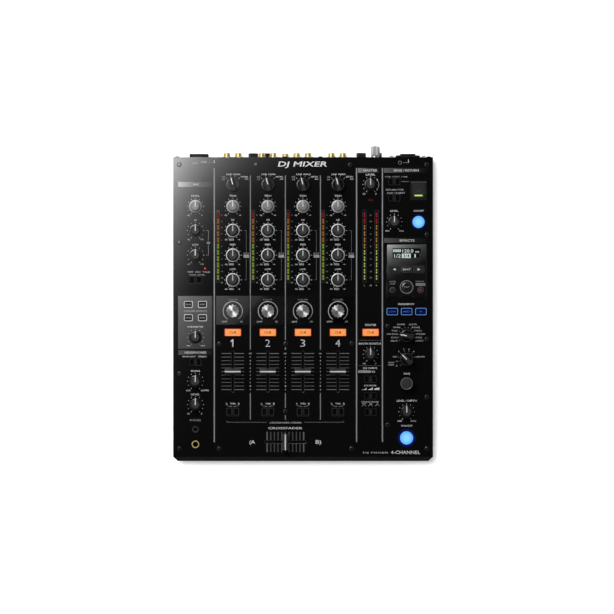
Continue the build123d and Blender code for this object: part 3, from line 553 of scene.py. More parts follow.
def scale_marks(shape, x, y, radius=10.0, long_ends=True, long_middle=False, z=INK_Z):
    """The eleven marks round a rotary control, over 300 degrees."""
    for i in range(11):
        reach = 0.6
        if i in (0, 10) and long_ends:
            reach = 1.3
        if i == 8 and long_middle:
            reach = 1.4
        ends = (*polar(radius - 0.6, 240 - 30 * i), *polar(radius + reach, 240 - 30 * i))
        shape.add(stroke(*ends, 0.7, PANEL_TOP, z), TICK_INK, at(x, y))


def spokes(shape, x, y, inner, outer, angles):
    """Short lines that point to a selector's axis."""
    for angle in angles:
        shape.lines(x, y, 0.5, DIM_INK, (*polar(inner, angle), *polar(outer, angle)))


def label_box(shape, text, x, y, width, height=2.3):
    """Dark letters on a light box."""
    shape.add(pad(width, height, PANEL_TOP, INK_Z, 0.3, 0.01), TICK_INK, at(x, y))
    shape.write(text, x, y, height * 0.62, BLACK, width=width * 0.86, z=INK_Z + 0.05)


def print_mic(shape):
    shape.labels(
        LEFT_X, 0.0,
        ("MIC", 0.8, 146.7, 2.3, INK, 7.2), ("MIC", -0.2, 172.8, 1.7, INK, 6.2),
        ("USB", 10.2, 174.4, 1.7, INK, 7.0),
        ("OFF  ON  TALK", 4.4, 38.9, 1.9, TICK_INK, 28.0), ("TALK LEVEL", 2.0, 35.4, 1.3, TICK_INK, 20.0),
        ("EQ", 16.2, 74.9, 2.0, INK),
    )
    shape.lines(LEFT_X, 0.0, 0.9, INK, (23.1, 173.4, 23.1, 176.4))
    shape.lines(
        LEFT_X, 0.0, 0.45, DIM_INK,
        (16.5, 173.6, 23.1, 173.6), (13.4, HI_Y, 16.0, HI_Y), (13.4, MID_Y, 16.0, MID_Y),
        (16.0, HI_Y, 16.0, 77.6), (16.0, MID_Y, 16.0, 72.2),
    )
    for text, y, low, high in (
        ("LEVEL", TRIM_Y, "-26", "0"), ("HI", HI_Y, "-12", "+12"), ("LOW", MID_Y, "-12", "+12"),
    ):
        scale_marks(shape, LEFT_X, y)
        width = 10.4 if len(text) > 3 else None
        shape.labels(
            LEFT_X, y,
            (text, 0.0, 12.9, 2.0, INK, width), (low, -8.8, -11.0, 1.7, INK), (high, 7.9, -11.0, 1.7, INK),
        )


def print_colour_block(shape):
    scale_marks(shape, LEFT_X, -41.5, 9.8, long_ends=False, z=FIELD_INK_Z)
    shape.labels(
        LEFT_X, 0.0,
        ("COLOR EFFECT", 0.0, -9.3, 1.9, TICK_INK, 28.5), ("PARAMETER", 0.0, -28.6, 2.1, INK, 19.6),
        ("MIN", -8.6, -51.9, 1.6, INK), ("MAX", 9.2, -51.9, 1.6, INK),
        z=FIELD_INK_Z,
    )


def print_phones(shape):
    shape.labels(
        LEFT_X, 0.0,
        ("HEADPHONES", 0.0, -60.2, 2.6, INK, 26.6), ("MONO SPLIT", -7.8, -65.2, 1.6, INK, 16.4),
        ("STEREO", 8.6, -65.2, 1.6, INK, 10.6), ("PHONES", 0.0, -143.6, 2.2, DIM_INK, 13.4),
    )
    for text, y, low, high, dx in (
        ("MIXING", -95.6, "CUE", "MASTER", 11.8), ("LEVEL", -124.3, "-26", "0", 7.6),
    ):
        scale_marks(shape, LEFT_X, y, 9.8)
        shape.labels(
            LEFT_X, y,
            (text, 0.0, 12.6, 2.1, INK, 11.0), (low, -8.9, -11.3, 1.7, INK), (high, dx, -11.3, 1.7, INK),
        )


def print_channel(shape, n, x):
    """One channel's column, from its input selector down to its crossfader assign switch."""
    spokes(shape, x, SELECT_Y, 9.6, 12.2, (135, 105, 75, 45))
    shape.labels(
        x, SELECT_Y,
        ("USB", -11.6, 9.4, 1.9, DIM_INK, 4.0), ("A/B", -11.6, 6.4, 1.9, DIM_INK, 4.0),
        ("LINE", -4.6, 12.6, 1.8, INK, 6.6), ("PHONO", 4.9, 12.6, 1.8, INK, 9.0),
        ("RETURN", 14.2, 9.6, 1.7, INK, 8.6), ("AUX", 16.8, 6.8, 1.7, INK, 4.4),
    )
    scale_marks(shape, x, TRIM_Y)
    shape.labels(
        x, TRIM_Y,
        ("TRIM", 0.0, 12.9, 2.1, INK, 8.6), ("-26", -8.6, -11.0, 1.7, INK), ("+9", 8.6, -11.0, 1.7, INK),
    )
    for text, row, width in (("HI", HI_Y, 3.4), ("MID", MID_Y, 6.8), ("LOW", LOW_Y, 7.4)):
        scale_marks(shape, x, row, long_ends=False, long_middle=True)
        shape.labels(
            x, row,
            (text, 0.0, 13.1, 2.1, INK, width), ("-26", -8.4, -11.2, 1.7, INK),
            ("+6", 7.6, -11.2, 1.7, INK),
        )
        label_box(shape, "CUT", x - 1.7, row - 11.2, 6.0)
    shape.lines(
        x, 0.0, 0.45, FAINT_INK,
        (14.0, HI_Y, 16.6, HI_Y), (14.0, LOW_Y, 16.6, LOW_Y),
        (16.6, HI_Y, 16.6, MID_Y + 4.2), (16.6, LOW_Y, 16.6, MID_Y - 4.2),
    )
    label_box(shape, "CUT", x + 16.6, MID_Y - 1.5, 6.6, 3.0)
    shape.write("EQ", x + 16.6, MID_Y + 1.9, 2.6, DIM_INK, 6.4)
    for i, mark in enumerate(("9", "6", "3", "2", "1", "0", "-3", "-6", "-12", "-15", "-24")):
        shape.write(mark, x + METER_OFFSET + 4.6, METER_Y + 38.3 - SEGMENT_STEP * i, 1.4, DIM_INK)
    shape.write("dB", x + METER_OFFSET + 4.8, METER_Y - 44.6, 1.6, DIM_INK)
    shape.add(arc(11.8, 0.9, -57, 237, PANEL_TOP + 0.1, FIELD_INK_Z, 60), TICK_INK, at(x, COLOR_Y))
    shape.labels(
        x, 0.0,
        ("COLOR", 0.0, 4.9, 1.8, INNER_LINE_INK, 12.0), ("LOW", -10.1, -22.2, 1.9, INK, 6.6),
        ("HI", 10.4, -22.2, 1.9, INK, 2.9),
        z=FIELD_INK_Z,
    )
    if n == 1:
        shape.add(numeral_one(), INK, at(x, NUMBER_Y))
    else:
        shape.write(str(n), x - 0.2, NUMBER_Y, 9.2, INK, 6.0, weight=-0.012)
    for i in range(-5, 6):
        ink = FADER_INK if abs(i) == 5 else FAINT_INK
        shape.lines(x, FADER_Y + FADER_STEP * i, 0.7, ink, (-14.1, 0.0, -2.1, 0.0), (2.1, 0.0, 13.8, 0.0))
    shape.labels(
        x, ASSIGN_Y + 9.9,
        ("A", -7.7, 0.0, 1.9, INK, 1.9), ("THRU", 0.2, 0.0, 1.9, INK, 6.6), ("B", 7.5, 0.0, 1.9, INK, 1.9),
    )
    for dx in (-4.6, 4.6):
        shape.lines(x, ASSIGN_Y, 0.4, DIM_INK, (1.7 * dx, 7.9, 0.7 * dx, 6.6))
        shape.lines(x, ASSIGN_Y, 0.6, DIM_INK, (0.7 * dx, 6.6, 0.2 * dx, 6.6))


def numeral_one():
    """A tall 1 with a flag."""
    left, right, low, high = -0.7, 0.7, -4.7, 4.7
    flag = [(right, high), (left + 0.3, high), (-2.7, high - 2.1), (-2.7, high - 3.7), (left, high - 2.2)]
    return prism([(left, low), (right, low), *flag], PANEL_TOP, INK_Z)


def print_fader_numbers(shape):
    """0 to 10 beside the faders, on the lines between the channels."""
    for left, right in zip(CHANNEL_X, CHANNEL_X[1:]):
        x = (left + right) / 2
        for i in range(11):
            width = 2.9 if i == 0 else 1.2
            shape.write(str(10 - i), x, FADER_Y + FADER_STEP * (5 - i), 1.8, TICK_INK, width)


def print_crossfader(shape):
    shape.labels(
        CROSS_X, 0.0,
        ("CROSSFADER ASSIGN", 0.4, -146.6, 1.8, TICK_INK, 38.5),
        ("CROSSFADER", 0.0, -153.3, 2.5, INK, 42.0),
        ("(A", -40.8, CROSS_Y, 4.4, INK, 7.0), ("B)", 40.8, CROSS_Y, 4.4, INK, 7.0),
    )
    for side in (-1, 1):
        outer, inner = side * 72.0, side * 22.8
        shape.lines(
            CROSS_X, -146.1, 0.6, FAINT_INK, (outer, 0.0, inner, 0.0), (outer, 0.0, outer - side * 0.4, 1.9)
        )
    for i in range(-5, 6):
        width, ink = (1.7, FAINT_INK) if abs(i) == 5 else (1.3, SCALE_INK)
        shape.lines(CROSS_X + 4.5 * i, CROSS_Y, width, ink, (0.0, 1.6, 0.0, 12.4), (0.0, -1.6, 0.0, -12.4))


def print_master(shape):
    x = MASTER_X
    shape.labels(
        x, 0.0,
        ("MASTER", -0.2, 164.0, 2.7, INK, 17.0), ("LEVEL", 0.0, 158.8, 2.3, INK, 11.6),
        ("-26", -8.2, SELECT_Y - 11.4, 1.9, INK), ("0", 6.6, SELECT_Y - 11.4, 1.9, INK),
        ("L", -7.4, 22.4, 1.8, DIM_INK), ("dB", 0.0, 22.4, 1.8, DIM_INK), ("R", 7.4, 22.4, 1.8, DIM_INK),
        ("MASTER", 0.2, -26.3, 2.3, INK, 13.6), ("BOOTH MONITOR", -0.6, -49.3, 2.3, INK, 27.6),
        ("-26", -8.0, -73.8, 1.7, INK), ("0", 6.4, -73.8, 1.7, INK),
        ("EQ CURVE", -0.4, -79.4, 2.1, INK, 17.2),
        ("EQ", 3.6, -83.7, 2.1, INK), ("CH FADER", -0.2, -100.9, 1.7, INK, 15.2),
        ("CROSSFADER", -0.2, -121.0, 1.6, TICK_INK, 22.0),
    )
    label_box(shape, "ISOLATE", x - 7.4, -83.7, 15.2, 2.9)
    scale_marks(shape, x, SELECT_Y, 9.6)
    scale_marks(shape, x, -62.3, 9.3)
    shape.add(arc(10.2, 0.6, -35, 35, PANEL_TOP, INK_Z), TICK_INK, at(x, SELECT_Y))
    for angle in (-38, 38):
        dx, dy = polar(10.2, angle)
        shape.stand(x + dx, SELECT_Y + dy, lathe([(0.75, 0.0), (0.75, 0.05)], 16), INK)
    for i, mark in enumerate(("15", "12", "9", "6", "3", "0", "-3", "-6", "-9", "-15", "-24")):
        shape.write(mark, x, METER_Y + 38.3 - SEGMENT_STEP * i, 1.6, DIM_INK)
    shape.lines(x, 0.0, 0.45, FAINT_INK, (-14.6, -45.2, 12.6, -45.2), (-14.6, -76.4, 12.6, -76.4))
    low, wide = -106.3, 6.2
    for i, (lift, power) in enumerate(((0.2, 3.0), (0.2, 1.0), (1.2, 0.5))):
        left = x - 11.3 + 8.0 * i
        falls = [1 - k / 8 for k in range(9)]
        curve = [(left + wide * fall, low + lift + (2.9 - lift) * fall ** power) for fall in falls]
        shape.add(prism([(left, low), (left + wide, low), *curve], PANEL_TOP, INK_Z), INK)
    for i, bow in enumerate((2.3, 1.2, 0.2)):
        for side in (-1, 1):
            shape.lines(
                x - 8.0 + 8.2 * i, -122.9, 0.4, TICK_INK,
                (-side * 2.6, -3.3, side * 0.6, 0.0), (side * 0.6, 0.0, side * (0.6 + bow), 0.0),
            )


def print_effects(shape):
    x, effect_y, source_y = EFFECT_X, -39.6, -68.5
    shape.labels(
        SEND_X, 0.0,
        ("1/4 IN  2 OUT  3 USB", 2.3, 156.2, 1.5, TICK_INK, 27.6),
        ("RETURN TYPE", 0.5, 140.1, 1.9, TICK_INK, 21.6),
        ("AUX / INSERT", 2.0, 136.2, 1.9, TICK_INK, 22.5), ("LEVEL", -0.2, 114.2, 2.1, INK, 10.0),
        ("MIN", -8.6, 89.6, 1.7, INK), ("MAX", 8.8, 89.6, 1.7, INK),
        ("ON/OFF", USB_X - SEND_X, 114.3, 1.9, INK, 12.6),
    )
    shape.labels(
        x, 0.0,
        ("SEND / RETURN", -0.6, 164.0, 2.6, INK, 31.0), ("EFFECTS", 0.6, 77.6, 2.7, INK, 18.0),
        ("FREQUENCY", -0.4, -0.6, 2.1, INK, 20.0), ("TIME", 0.2, -86.4, 2.2, INK, 8.0),
        ("LEVEL / DEPTH", 0.3, -119.6, 2.2, INK, 24.6), ("MIN", -8.5, -144.6, 1.9, INK),
        ("MAX", 8.7, -144.6, 1.9, INK),
        ("ON/OFF", 0.2, -150.4, 2.1, INK, 13.8), ("DJ MIXER", 89.6 - x, -183.5, 1.7, TICK_INK, 31.5),
        ("4-CHANNEL", 126.1 - x, -183.1, 4.0, INK, 36.0),
    )
    shape.lines(SEND_X, 150.3, 0.45, DIM_INK, (9.0, 0.0, 17.6, 0.0))
    shape.lines(x, 173.6, 0.45, DIM_INK, (-4.5, 0.0, 2.3, 0.0))
    shape.lines(x, 173.6, 0.8, INK, (2.3, -0.3, 2.3, 3.9))
    shape.add(arc(2.0, 0.5, 0, 360, PANEL_TOP, INK_Z), DIM_INK, at(x - 8.2, 173.6))
    scale_marks(shape, SEND_X, 100.6, 9.5)
    scale_marks(shape, x, -133.2, 9.6)
    spokes(shape, x, effect_y, 9.4, 11.0, [213.75 - 22.5 * i for i in range(11)])
    for name, dx, dy, width in (
        ("REVERB", -6.9, 14.0, 9.6), ("GATE", 7.7, 14.0, 9.6), ("SPIN", -12.4, 10.3, 8.6),
        ("FLANGE", 11.4, 10.3, 9.6),
        ("PAN", -14.7, 6.2, 6.4), ("PITCH", 14.4, 6.2, 8.4), ("LOW ECHO", -17.6, 2.1, 13.6),
        ("PHASER", 17.6, 2.1, 11.0),
        ("ECHO", -15.0, -2.1, 8.0), ("ROLL", 15.4, -2.1, 7.6), ("DELAY", -15.0, -6.2, 8.7),
        ("REPEAT", 16.0, -6.2, 10.0),
    ):
        shape.write(name, x + dx, effect_y + dy, 1.75, TICK_INK, width)
    spokes(shape, x, source_y, 9.2, 10.6, [225 - 30 * i for i in range(8)])
    for name, dx, dy, width, height in (
        ("1", -9.6, 9.5, 0.8, 1.9), ("2", -3.4, 12.2, 1.6, 1.9), ("3", 2.7, 12.2, 1.6, 1.9),
        ("4", 8.8, 9.5, 1.7, 1.9),
        ("MIC", -14.2, 3.0, 5.2, 1.8), ("A", -12.1, -2.5, 1.7, 1.8), ("B", -12.1, -8.0, 1.5, 1.8),
        ("MASTER", 16.8, 3.0, 11.0, 1.8), ("CROSS", -19.0, -4.1, 7.6, 1.6),
        ("FADER", -19.0, -6.9, 7.6, 1.6),
    ):
        shape.write(name, x + dx, source_y + dy, height, TICK_INK, width)


def print_dividers(shape):
    """The upright lines: three thick ones between the sections, and thin ones between the channels."""
    for x in (-109.3, 65.9, 97.7):
        shape.stand(x, -1.75, pad(1.5, 337.5, 0.0, 0.15, 0.3, 0.03), LINE_INK)
    for i in range(3):
        runs = [(158.0, -56.8), (-110.0, -142.8)]
        if i == 1:
            runs = [(158.0, -45.0), (-53.6, -57.0), (-110.0, -128.6), (-137.4, -142.8)]
        for high, low in runs:
            run = pad(1.15, high - low, 0.0, 0.15, 0.3, 0.03)
            shape.stand((CHANNEL_X[i] + CHANNEL_X[i + 1]) / 2, (high + low) / 2, run, INNER_LINE_INK)


def make_printing():
    dividers = Shape("panel_dividers")
    print_dividers(dividers)
    dividers.build("case", "panel_black")
    prints = Shape("panel_lettering")
    prints.write("DJ MIXER", 0.0, 171.9, 6.2, WHITE, 60.4, slant=0.25)
    print_mic(prints)
    print_colour_block(prints)
    print_phones(prints)
    for n, x in enumerate(CHANNEL_X, 1):
        print_channel(prints, n, x)
    print_fader_numbers(prints)
    print_crossfader(prints)
    print_master(prints)
    print_effects(prints)
    prints.build("case", "panel_black")


def make_headers():
    """The grey title bars, and the glossy fields under the colour controls."""
    for name, x, y, width, height, left, right in (
        ("mic", -132.6, 146.7, 42.8, 6.2, 0.4, 0.015),
        ("master", 80.9, 164.0, 26.7, 5.8, 0.26, 0.012),
        ("send", 127.0, 164.0, 54.9, 5.8, 0.13, 0.006),
        ("effects", 127.2, 77.8, 55.0, 5.6, 0.1, 0.005),
        ("phones", -132.6, -60.3, 42.0, 5.8, 0.1, 0.012),
    ):
        bar = Shape(f"header_{name}")
        bar.stand(x, y, pad(width, height, 0.0, 0.04, 0.3, 0.01), faded_bar(f"bar_{name}", left, right))
        bar.build("case", "panel_black")
    fields = Shape("colour_fields")
    for x in CHANNEL_X:
        fields.stand(x - 0.2, -8.25, pad(40.7, 35.5, 0.0, 0.08, 0.4, 0.03), ZONE)
    fields.stand(-132.85, -23.2, pad(42.0, 65.1, 0.0, 0.08, 0.4, 0.03), BLOCK)
    fields.build("case", "panel_black")


# ---- Rotary controls ----


def pointer(profile, width):
    """A fin that stands on a knob along its pointer, from (distance from the axis, height) outwards."""
    outline = profile + [(y, z - 1.2) for y, z in reversed(profile)]
    return loft([[(x, y, z) for y, z in outline] for x in (width / 2, -width / 2)])


def knob_blade():
    """The bar across a selector's knob."""
    side = [(-2.9, 6.8), (2.9, 6.8), (2.5, 16.0), (1.9, 17.0), (-1.9, 17.0), (-2.5, 16.0)]
    stations = ((8.2, 1.4), (7.6, 0.0), (-7.6, 0.0), (-8.2, 1.4))
    return loft([[(x, y, z - (drop if z > 8 else 0)) for x, z in side] for y, drop in stations])


# Each kind of knob: solids that stand on z = 0 with the pointer towards +Y, and their materials
KNOB_SOLIDS = {
    "ringed": [
        (lathe([(8.2, 0), (8.5, 0.4), (8.5, 1.6), (8.2, 2.0)], 64), BLACK),
        (lathe([(8.4, 1.5), (8.35, 1.9), (7.7, 2.3), (7.35, 2.4), (7.2, 2.1), (7.2, 1.5)], 64, loop=True),
         RING_SILVER),
        (lathe([(6.55, 1.9), (6.5, 3.0, 0.25), (5.5, 14.8, 0.25), (5.15, 15.6)], 72, 18), GRIP),
        (lathe([(5.15, 15.5), (5.1, 15.8), (4.8, 16.05)], 48), CAP_GREY),
        (pointer([(-0.8, 16.25), (4.9, 16.2), (5.6, 15.2), (6.6, 3.6), (8.3, 2.5)], 1.15), SOFT_WHITE),
    ],
    "silver": [
        (lathe([(7.9, 0), (8.1, 0.4), (8.1, 1.4), (7.7, 1.8), (6.7, 2.3), (6.3, 2.4)], 64), SILVER),
        (lathe([(6.35, 2.9), (6.3, 3.6, 0.3), (5.3, 14.6, 0.3), (4.9, 15.6), (4.4, 15.9)], 72, 18), SILVER_MATT),
        (lathe([(4.35, 15.8), (4.25, 16.0), (3.9, 16.1)], 48), SILVER_CAP),
        (pointer([(-0.6, 16.3), (4.4, 16.2), (5.3, 15.6), (6.5, 3.7), (7.6, 2.3)], 0.95), WHITE),
    ],
    "dark": [
        (lathe([(7.5, 0), (7.8, 0.4), (7.8, 1.3), (7.6, 1.5), (7.2, 1.4)], 64), SOOT),
        (lathe([(7.4, 1.4), (7.3, 1.7), (6.25, 1.8), (6.2, 1.4)], 64, loop=True), SPUN_DARK),
        (lathe([(6.25, 1.3), (6.2, 3.4, 0.3), (5.4, 14.4, 0.3), (5.15, 15.4)], 72, 18), SOOT),
        (lathe([(5.15, 15.3), (5.05, 15.75), (4.8, 16.05)], 48), CAP_GREY),
        (pointer([(-0.6, 16.3), (5.6, 16.2), (6.3, 15.4), (6.9, 3.3), (7.6, 2.2)], 1.1), WHITE),
    ],
    "bar": [
        (lathe([(7.5, 0), (7.8, 0.4), (7.75, 6.3), (7.6, 6.5), (6.95, 6.6), (6.8, 6.3)], 64), SPUN_DARK),
        (lathe([(6.85, 6.2), (6.8, 6.5), (6.5, 6.6)], 48), GLOSS_BLACK),
        (knob_blade(), BAR_GREY),
        (pointer([(0.0, 17.2), (7.4, 17.15), (8.3, 15.6)], 1.2), WHITE),
    ],
    "fluted": [
        (lathe([(7.8, 0), (8.1, 0.3), (8.1, 1.6)], 64), BLACK),
        (lathe([(8.45, 1.5, 1.2), (8.5, 17.8, 1.2), (8.35, 18.5, 1.1), (8.1, 18.8, 1.0)], 144, 12), CHROME),
        (lathe([(8.1, 18.75, 1.0), (8.0, 18.95, 0.95), (7.8, 19.0, 0.9)], 144, 12), CHROME_TOP),
    ],
    "encoder": [
        (lathe([(7.4, 0), (7.75, 0.3), (7.8, 12.0, 0.25), (7.6, 12.6, 0.25)], 96, 32), GRIP),
        (lathe([(7.3, 12.4), (7.25, 12.9), (6.9, 13.1), (6.5, 12.9), (6.4, 12.4)], 64, loop=True), RIM_STEEL),
        (lathe([(6.5, 12.4), (6.45, 12.6), (5.9, 12.7)], 64), GRIP),
        (lathe([(5.5, 12.6), (5.45, 13.3), (5.2, 13.45), (0.5, 13.6)], 64), CAP_GREY),
    ],
}

KNOB_KIND = {
    "mic_level": "silver",
    "input_selector": "bar",
    "effect_selector": "bar",
    "effect_channel_selector": "bar",
    "effect_time": "encoder",
    "trim": "silver",
    "color": "fluted",
}
REST_TURN = {"input_selector": 15, "effect_selector": 78.75, "effect_channel_selector": 45}
KNOB_SLOT = {"ringed": "knob_ringed", "silver": "knob_silver", "fluted": "knob_chrome"}


def make_knobs():
    for name in (n for n in JOINT_AT if n.endswith(("_knob", "_selector"))):
        kind = next((KNOB_KIND[k] for k in KNOB_KIND if k in name), "dark")
        if name[:2] == "ch" and name.endswith(("hi_knob", "mid_knob", "low_knob")):
            kind = "ringed"
        turn = next((REST_TURN[k] for k in REST_TURN if k in name), 0)
        where = JOINT_AT[name]
        shape = Shape(f"{name}_looks")
        for solid, material in KNOB_SOLIDS[kind]:
            shape.add(solid, material, at(where.x, where.y, PANEL_TOP + 1.0, turn))
        shape.add(lathe([(3.0, -8.0), (3.0, 1.0)], 24), STEEL, at(where.x, where.y, PANEL_TOP))
        shape.build(name, KNOB_SLOT.get(kind, "knob_black"), name)


# ---- Faders, buttons and switches ----


def fader_solids():
    """A fader's cap across its travel along Y: a ridge with a white line between two finger slopes."""
    def ring(x, half_depth, top):
        slope = [
            (half_depth, 0.0), (half_depth, 3.2), (half_depth - 0.5, 6.2), (half_depth - 1.5, 8.8),
            (1.35, top - 0.8), (1.05, top),
        ]
        points = slope + [(-y, z) for y, z in reversed(slope)]
        return [(x, y, z) for y, z in points]

    stations = [(-10.1, 2.9, 12.6), (-9.9, 3.3, 13.6), (-9.3, 3.7, 14.0), (-8.6, 3.8, 14.0)]
    rings = [ring(*s) for s in stations] + [ring(-x, d, t) for x, d, t in reversed(stations)]
    return [
        (loft(rings), FADER_GREY),
        (pad(19.4, 1.6, 13.7, 14.15, 0.3, 0.08), INK),
        (pad(1.2, 5.0, -12.0, 1.0, 0.2, 0.1), STEEL),
    ]


FADERS = [(f"ch{n}_fader", x, FADER_Y, 0) for n, x in enumerate(CHANNEL_X, 1)]
FADERS += [("crossfader", CROSS_X, CROSS_Y, 90)]


def make_faders():
    for name, x, y, turn in FADERS:
        shape = Shape(f"{name}_looks")
        for solid, material in fader_solids():
            shape.add(solid, material, at(x, y, PANEL_TOP + 1.5, turn))
        shape.build(name, "fader_black", name)
    slots = Shape("fader_slot_linings")
    widths = ((4.2, 0.0), (4.1, 0.1), (3.9, 0.22), (2.8, -0.02))
    lip = loft([rounded(width, width + 48.2, width / 2.2, up) for width, up in widths], loop=True)
    for name, x, y, turn in FADERS:
        slots.stand(x, y, frame_ring(2.75, 50.9, 0.35, -1.8, 0.06, 1.0), BLACK, lip, SLOT_LIP, turn=turn)
    slots.build("case", "socket_black")


def make_cue_buttons():
    for i, x in enumerate([*CHANNEL_X, MASTER_X]):
        shape = Shape(f"cue_button_{i + 1}")
        shape.stand(x, CUE_Y, pad(21.2, 9.8, -5.0, 1.5, 1.2, 0.1), CUE_RIM)
        shape.stand(x + 0.1, CUE_Y, pad(19.4, 8.3, -4.0, 2.4, 0.7, 0.15), CUE_LIT)
        shape.write("CUE", x, CUE_Y, 2.8, CUE_TEXT, 8.8, z=PANEL_TOP + 2.4, weight=0.035)
        shape.build("cue_buttons", "button_lit", *(["cue_buttons"] if i == 0 else []))


def framed_button(shape, x, y, width, depth, ring, well, text, ink, height, wall):
    """A button with a lit or printed ring round its face."""
    shape.stand(
        x, y,
        pad(width, depth, -5.0, 2.0, 1.0, 0.3), SOOT,
        frame_ring(width - 0.4, depth - 0.4, wall, 1.7, 2.08, 1.5), ring,
        pad(width - 2.5, depth - 2.5, 1.7, 2.04, 0.4, 0.05), well,
    )
    text_width = (width - 2.5) * 0.72 if len(text) > 2 else None
    shape.write(text, x, y, height, ink, text_width, z=PANEL_TOP + 2.06)


def make_effect_buttons():
    shape = Shape("effect_buttons_looks")
    names = iter(("DUB", "SWEEP", "NOISE", "FILTER"))
    for y in (-1.0, -17.4):
        for dx in (-8.7, 8.7):
            framed_button(shape, LEFT_X + dx, y, 11.5, 9.0, INK, SOOT, next(names), TICK_INK, 1.9, 0.9)
    for dx, text in ((-17.6, "LOW"), (0.0, "MID"), (17.6, "HI")):
        framed_button(shape, EFFECT_X + dx, -9.8, 14.2, 9.1, BLUE_RING, BLUE_WELL, text, BLUE_TEXT, 2.2, 0.6)
    for side in (-1, 1):
        arrow = [(side * 1.9, 0), (-side * 1.5, side * 1.5), (-side * 1.5, -side * 1.5)]
        shape.stand(
            EFFECT_X + side * BEAT_OFFSET, BEAT_Y,
            pad(13.3, 7.9, -5.0, 2.0, 0.8, 0.5), BAR_GREY, prism(arrow, 1.9, 2.05), WHITE,
        )
    dome = [(6.6, -7.0), (6.6, 0.9), (6.4, 1.3), (5.4, 1.75), (3.6, 2.05), (1.6, 2.1)]
    shape.stand(EFFECT_X, TAP_Y, lathe(dome, 64), GLOSS_BLACK)
    shape.write("TAP", EFFECT_X, TAP_Y, 2.1, DIM_INK, 6.6, z=PANEL_TOP + 2.1)
    for dx, radius, material in ((-SMALL_OFFSET, 2.6, BAR_GREY), (SMALL_OFFSET, 1.5, RED_GLOW)):
        shape.stand(
            EFFECT_X + dx, SMALL_Y,
            lathe([(3.7, -7.0), (3.7, 1.6), (3.1, 2.0), (2.9, 1.4)], 48), DARK_RIM,
            lathe([(2.9, 1.0), (2.8, 1.5)], 32), BLACK,
            lathe([(radius, 1.5), (radius, 2.0), (radius - 0.6, 2.25)], 48), material,
        )
    shape.build("effect_buttons", "button_black", "effect_buttons")
    for name, x, y, radius, edge in (
        ("send", USB_X, 100.5, 7.4, 9.1), ("effect", EFFECT_X, -165.4, 8.1, 11.2),
    ):
        big = Shape(f"{name}_on_button")
        profile = [(radius, -5.0), (radius, 1.2), (radius - 0.5, 1.8), (radius - 1.6, 2.0)]
        big.stand(x, y, lathe(profile, 72), BLUE_LIT)
        big.build("effect_buttons", "button_black")
        # Round each big button, out to edge, the panel carries a dim blue lit ring: painted glow of the button's
        # light on the panel.
        halo = Shape(f"{name}_button_surround")
        profile = [(edge, 0.0), (edge - 0.1, 0.16), (radius + 0.35, 0.2), (radius + 0.35, 0.0)]
        halo.stand(x, y, lathe(profile, 72, loop=True), BLUE_HALO)
        halo.build("case", "button_black")
    tap_ring = Shape("tap_button_ring")
    profile = [(8.25, 0.75), (8.2, 1.2), (7.8, 1.45), (7.45, 1.35), (7.4, 0.75)]
    tap_ring.stand(EFFECT_X, TAP_Y, lathe(profile, 72, loop=True), SILVER_MATT)
    tap_ring.build("case", "panel_black")


SWITCHES = (
    [(LEFT_X, 29.3), (LEFT_X, -72.0)]
    + [(x, ASSIGN_Y) for x in CHANNEL_X]
    + [(MASTER_X, y) for y in (-93.1, -113.6, -133.6)]
    + [(SEND_X, y) for y in (150.2, 130.2)]
)


def make_switches():
    thumbs, wells = Shape("slide_switch_thumbs"), Shape("slide_switch_wells")
    for x, y in SWITCHES:
        thumbs.stand(x, y, pad(4.0, 6.5, -1.6, 0.5, 0.3, 0.2), SOOT)
        for dx in (-1.5, 0.0, 1.5):
            thumbs.stand(x + dx, y, pad(0.7, 6.3, -1.6, 1.4, 0.2, 0.2), CAP_GREY)
        thumbs.stand(x, y, pad(4.0, 1.8, -6.8, -1.4, 0.2, 0.1), BLACK)
        wells.stand(x, y, frame_ring(14.3, 8.3, 0.4, -2.0, 0.12, 0.6), CAP_GREY)
        if (x, y) == SWITCHES[0]:
            wells.stand(x, y, frame_ring(17.4, 8.5, 1.8, 0.0, 0.08, 0.8), SOOT)
            wells.stand(x, y, frame_ring(17.8, 8.9, 0.35, 0.0, 0.14, 0.9), CAP_GREY)
        if y == ASSIGN_Y:
            wells.stand(x, y - 0.3, frame_ring(15.0, 10.4, 0.4, 0.0, 0.12, 0.8), CAP_GREY)
        wells.stand(x, y, pad(13.4, 7.4, -2.6, -2.0, 0.3, 0.05), SOOT)
    thumbs.build("slide_switches", "switch_black", "slide_switches")
    wells.build("case", "socket_black")


# ---- Meters and display ----


def meter(shape, x, counts, hot_width, lights):
    """A strip of lit segments in a dark, rounded trough: so many red, orange and green from the top."""
    trough = pad(4.3, 89.0, -2.0, 0.02, 1.0, 0.05)
    shape.stand(x, METER_Y, trough, SCREEN, frame_ring(4.6, 89.4, 0.4, -1.0, 0.14, 1.2), FADER_GREY)
    colours = [colour for colour, count in zip(("red", "orange", "green"), counts) for i in range(count)]
    for i, colour in enumerate(colours):
        y = METER_Y + 38.6 - SEGMENT_STEP * i
        dim, hot = lights[colour]
        shape.stand(x, y, pad(2.6, 6.4, 0.0, 0.06, 0.4, 0.02), dim)
        for dy in (-1.6, 1.6):
            shape.stand(x, y + dy, pad(hot_width, 2.0, 0.0, 0.1, 0.3, 0.02), hot)


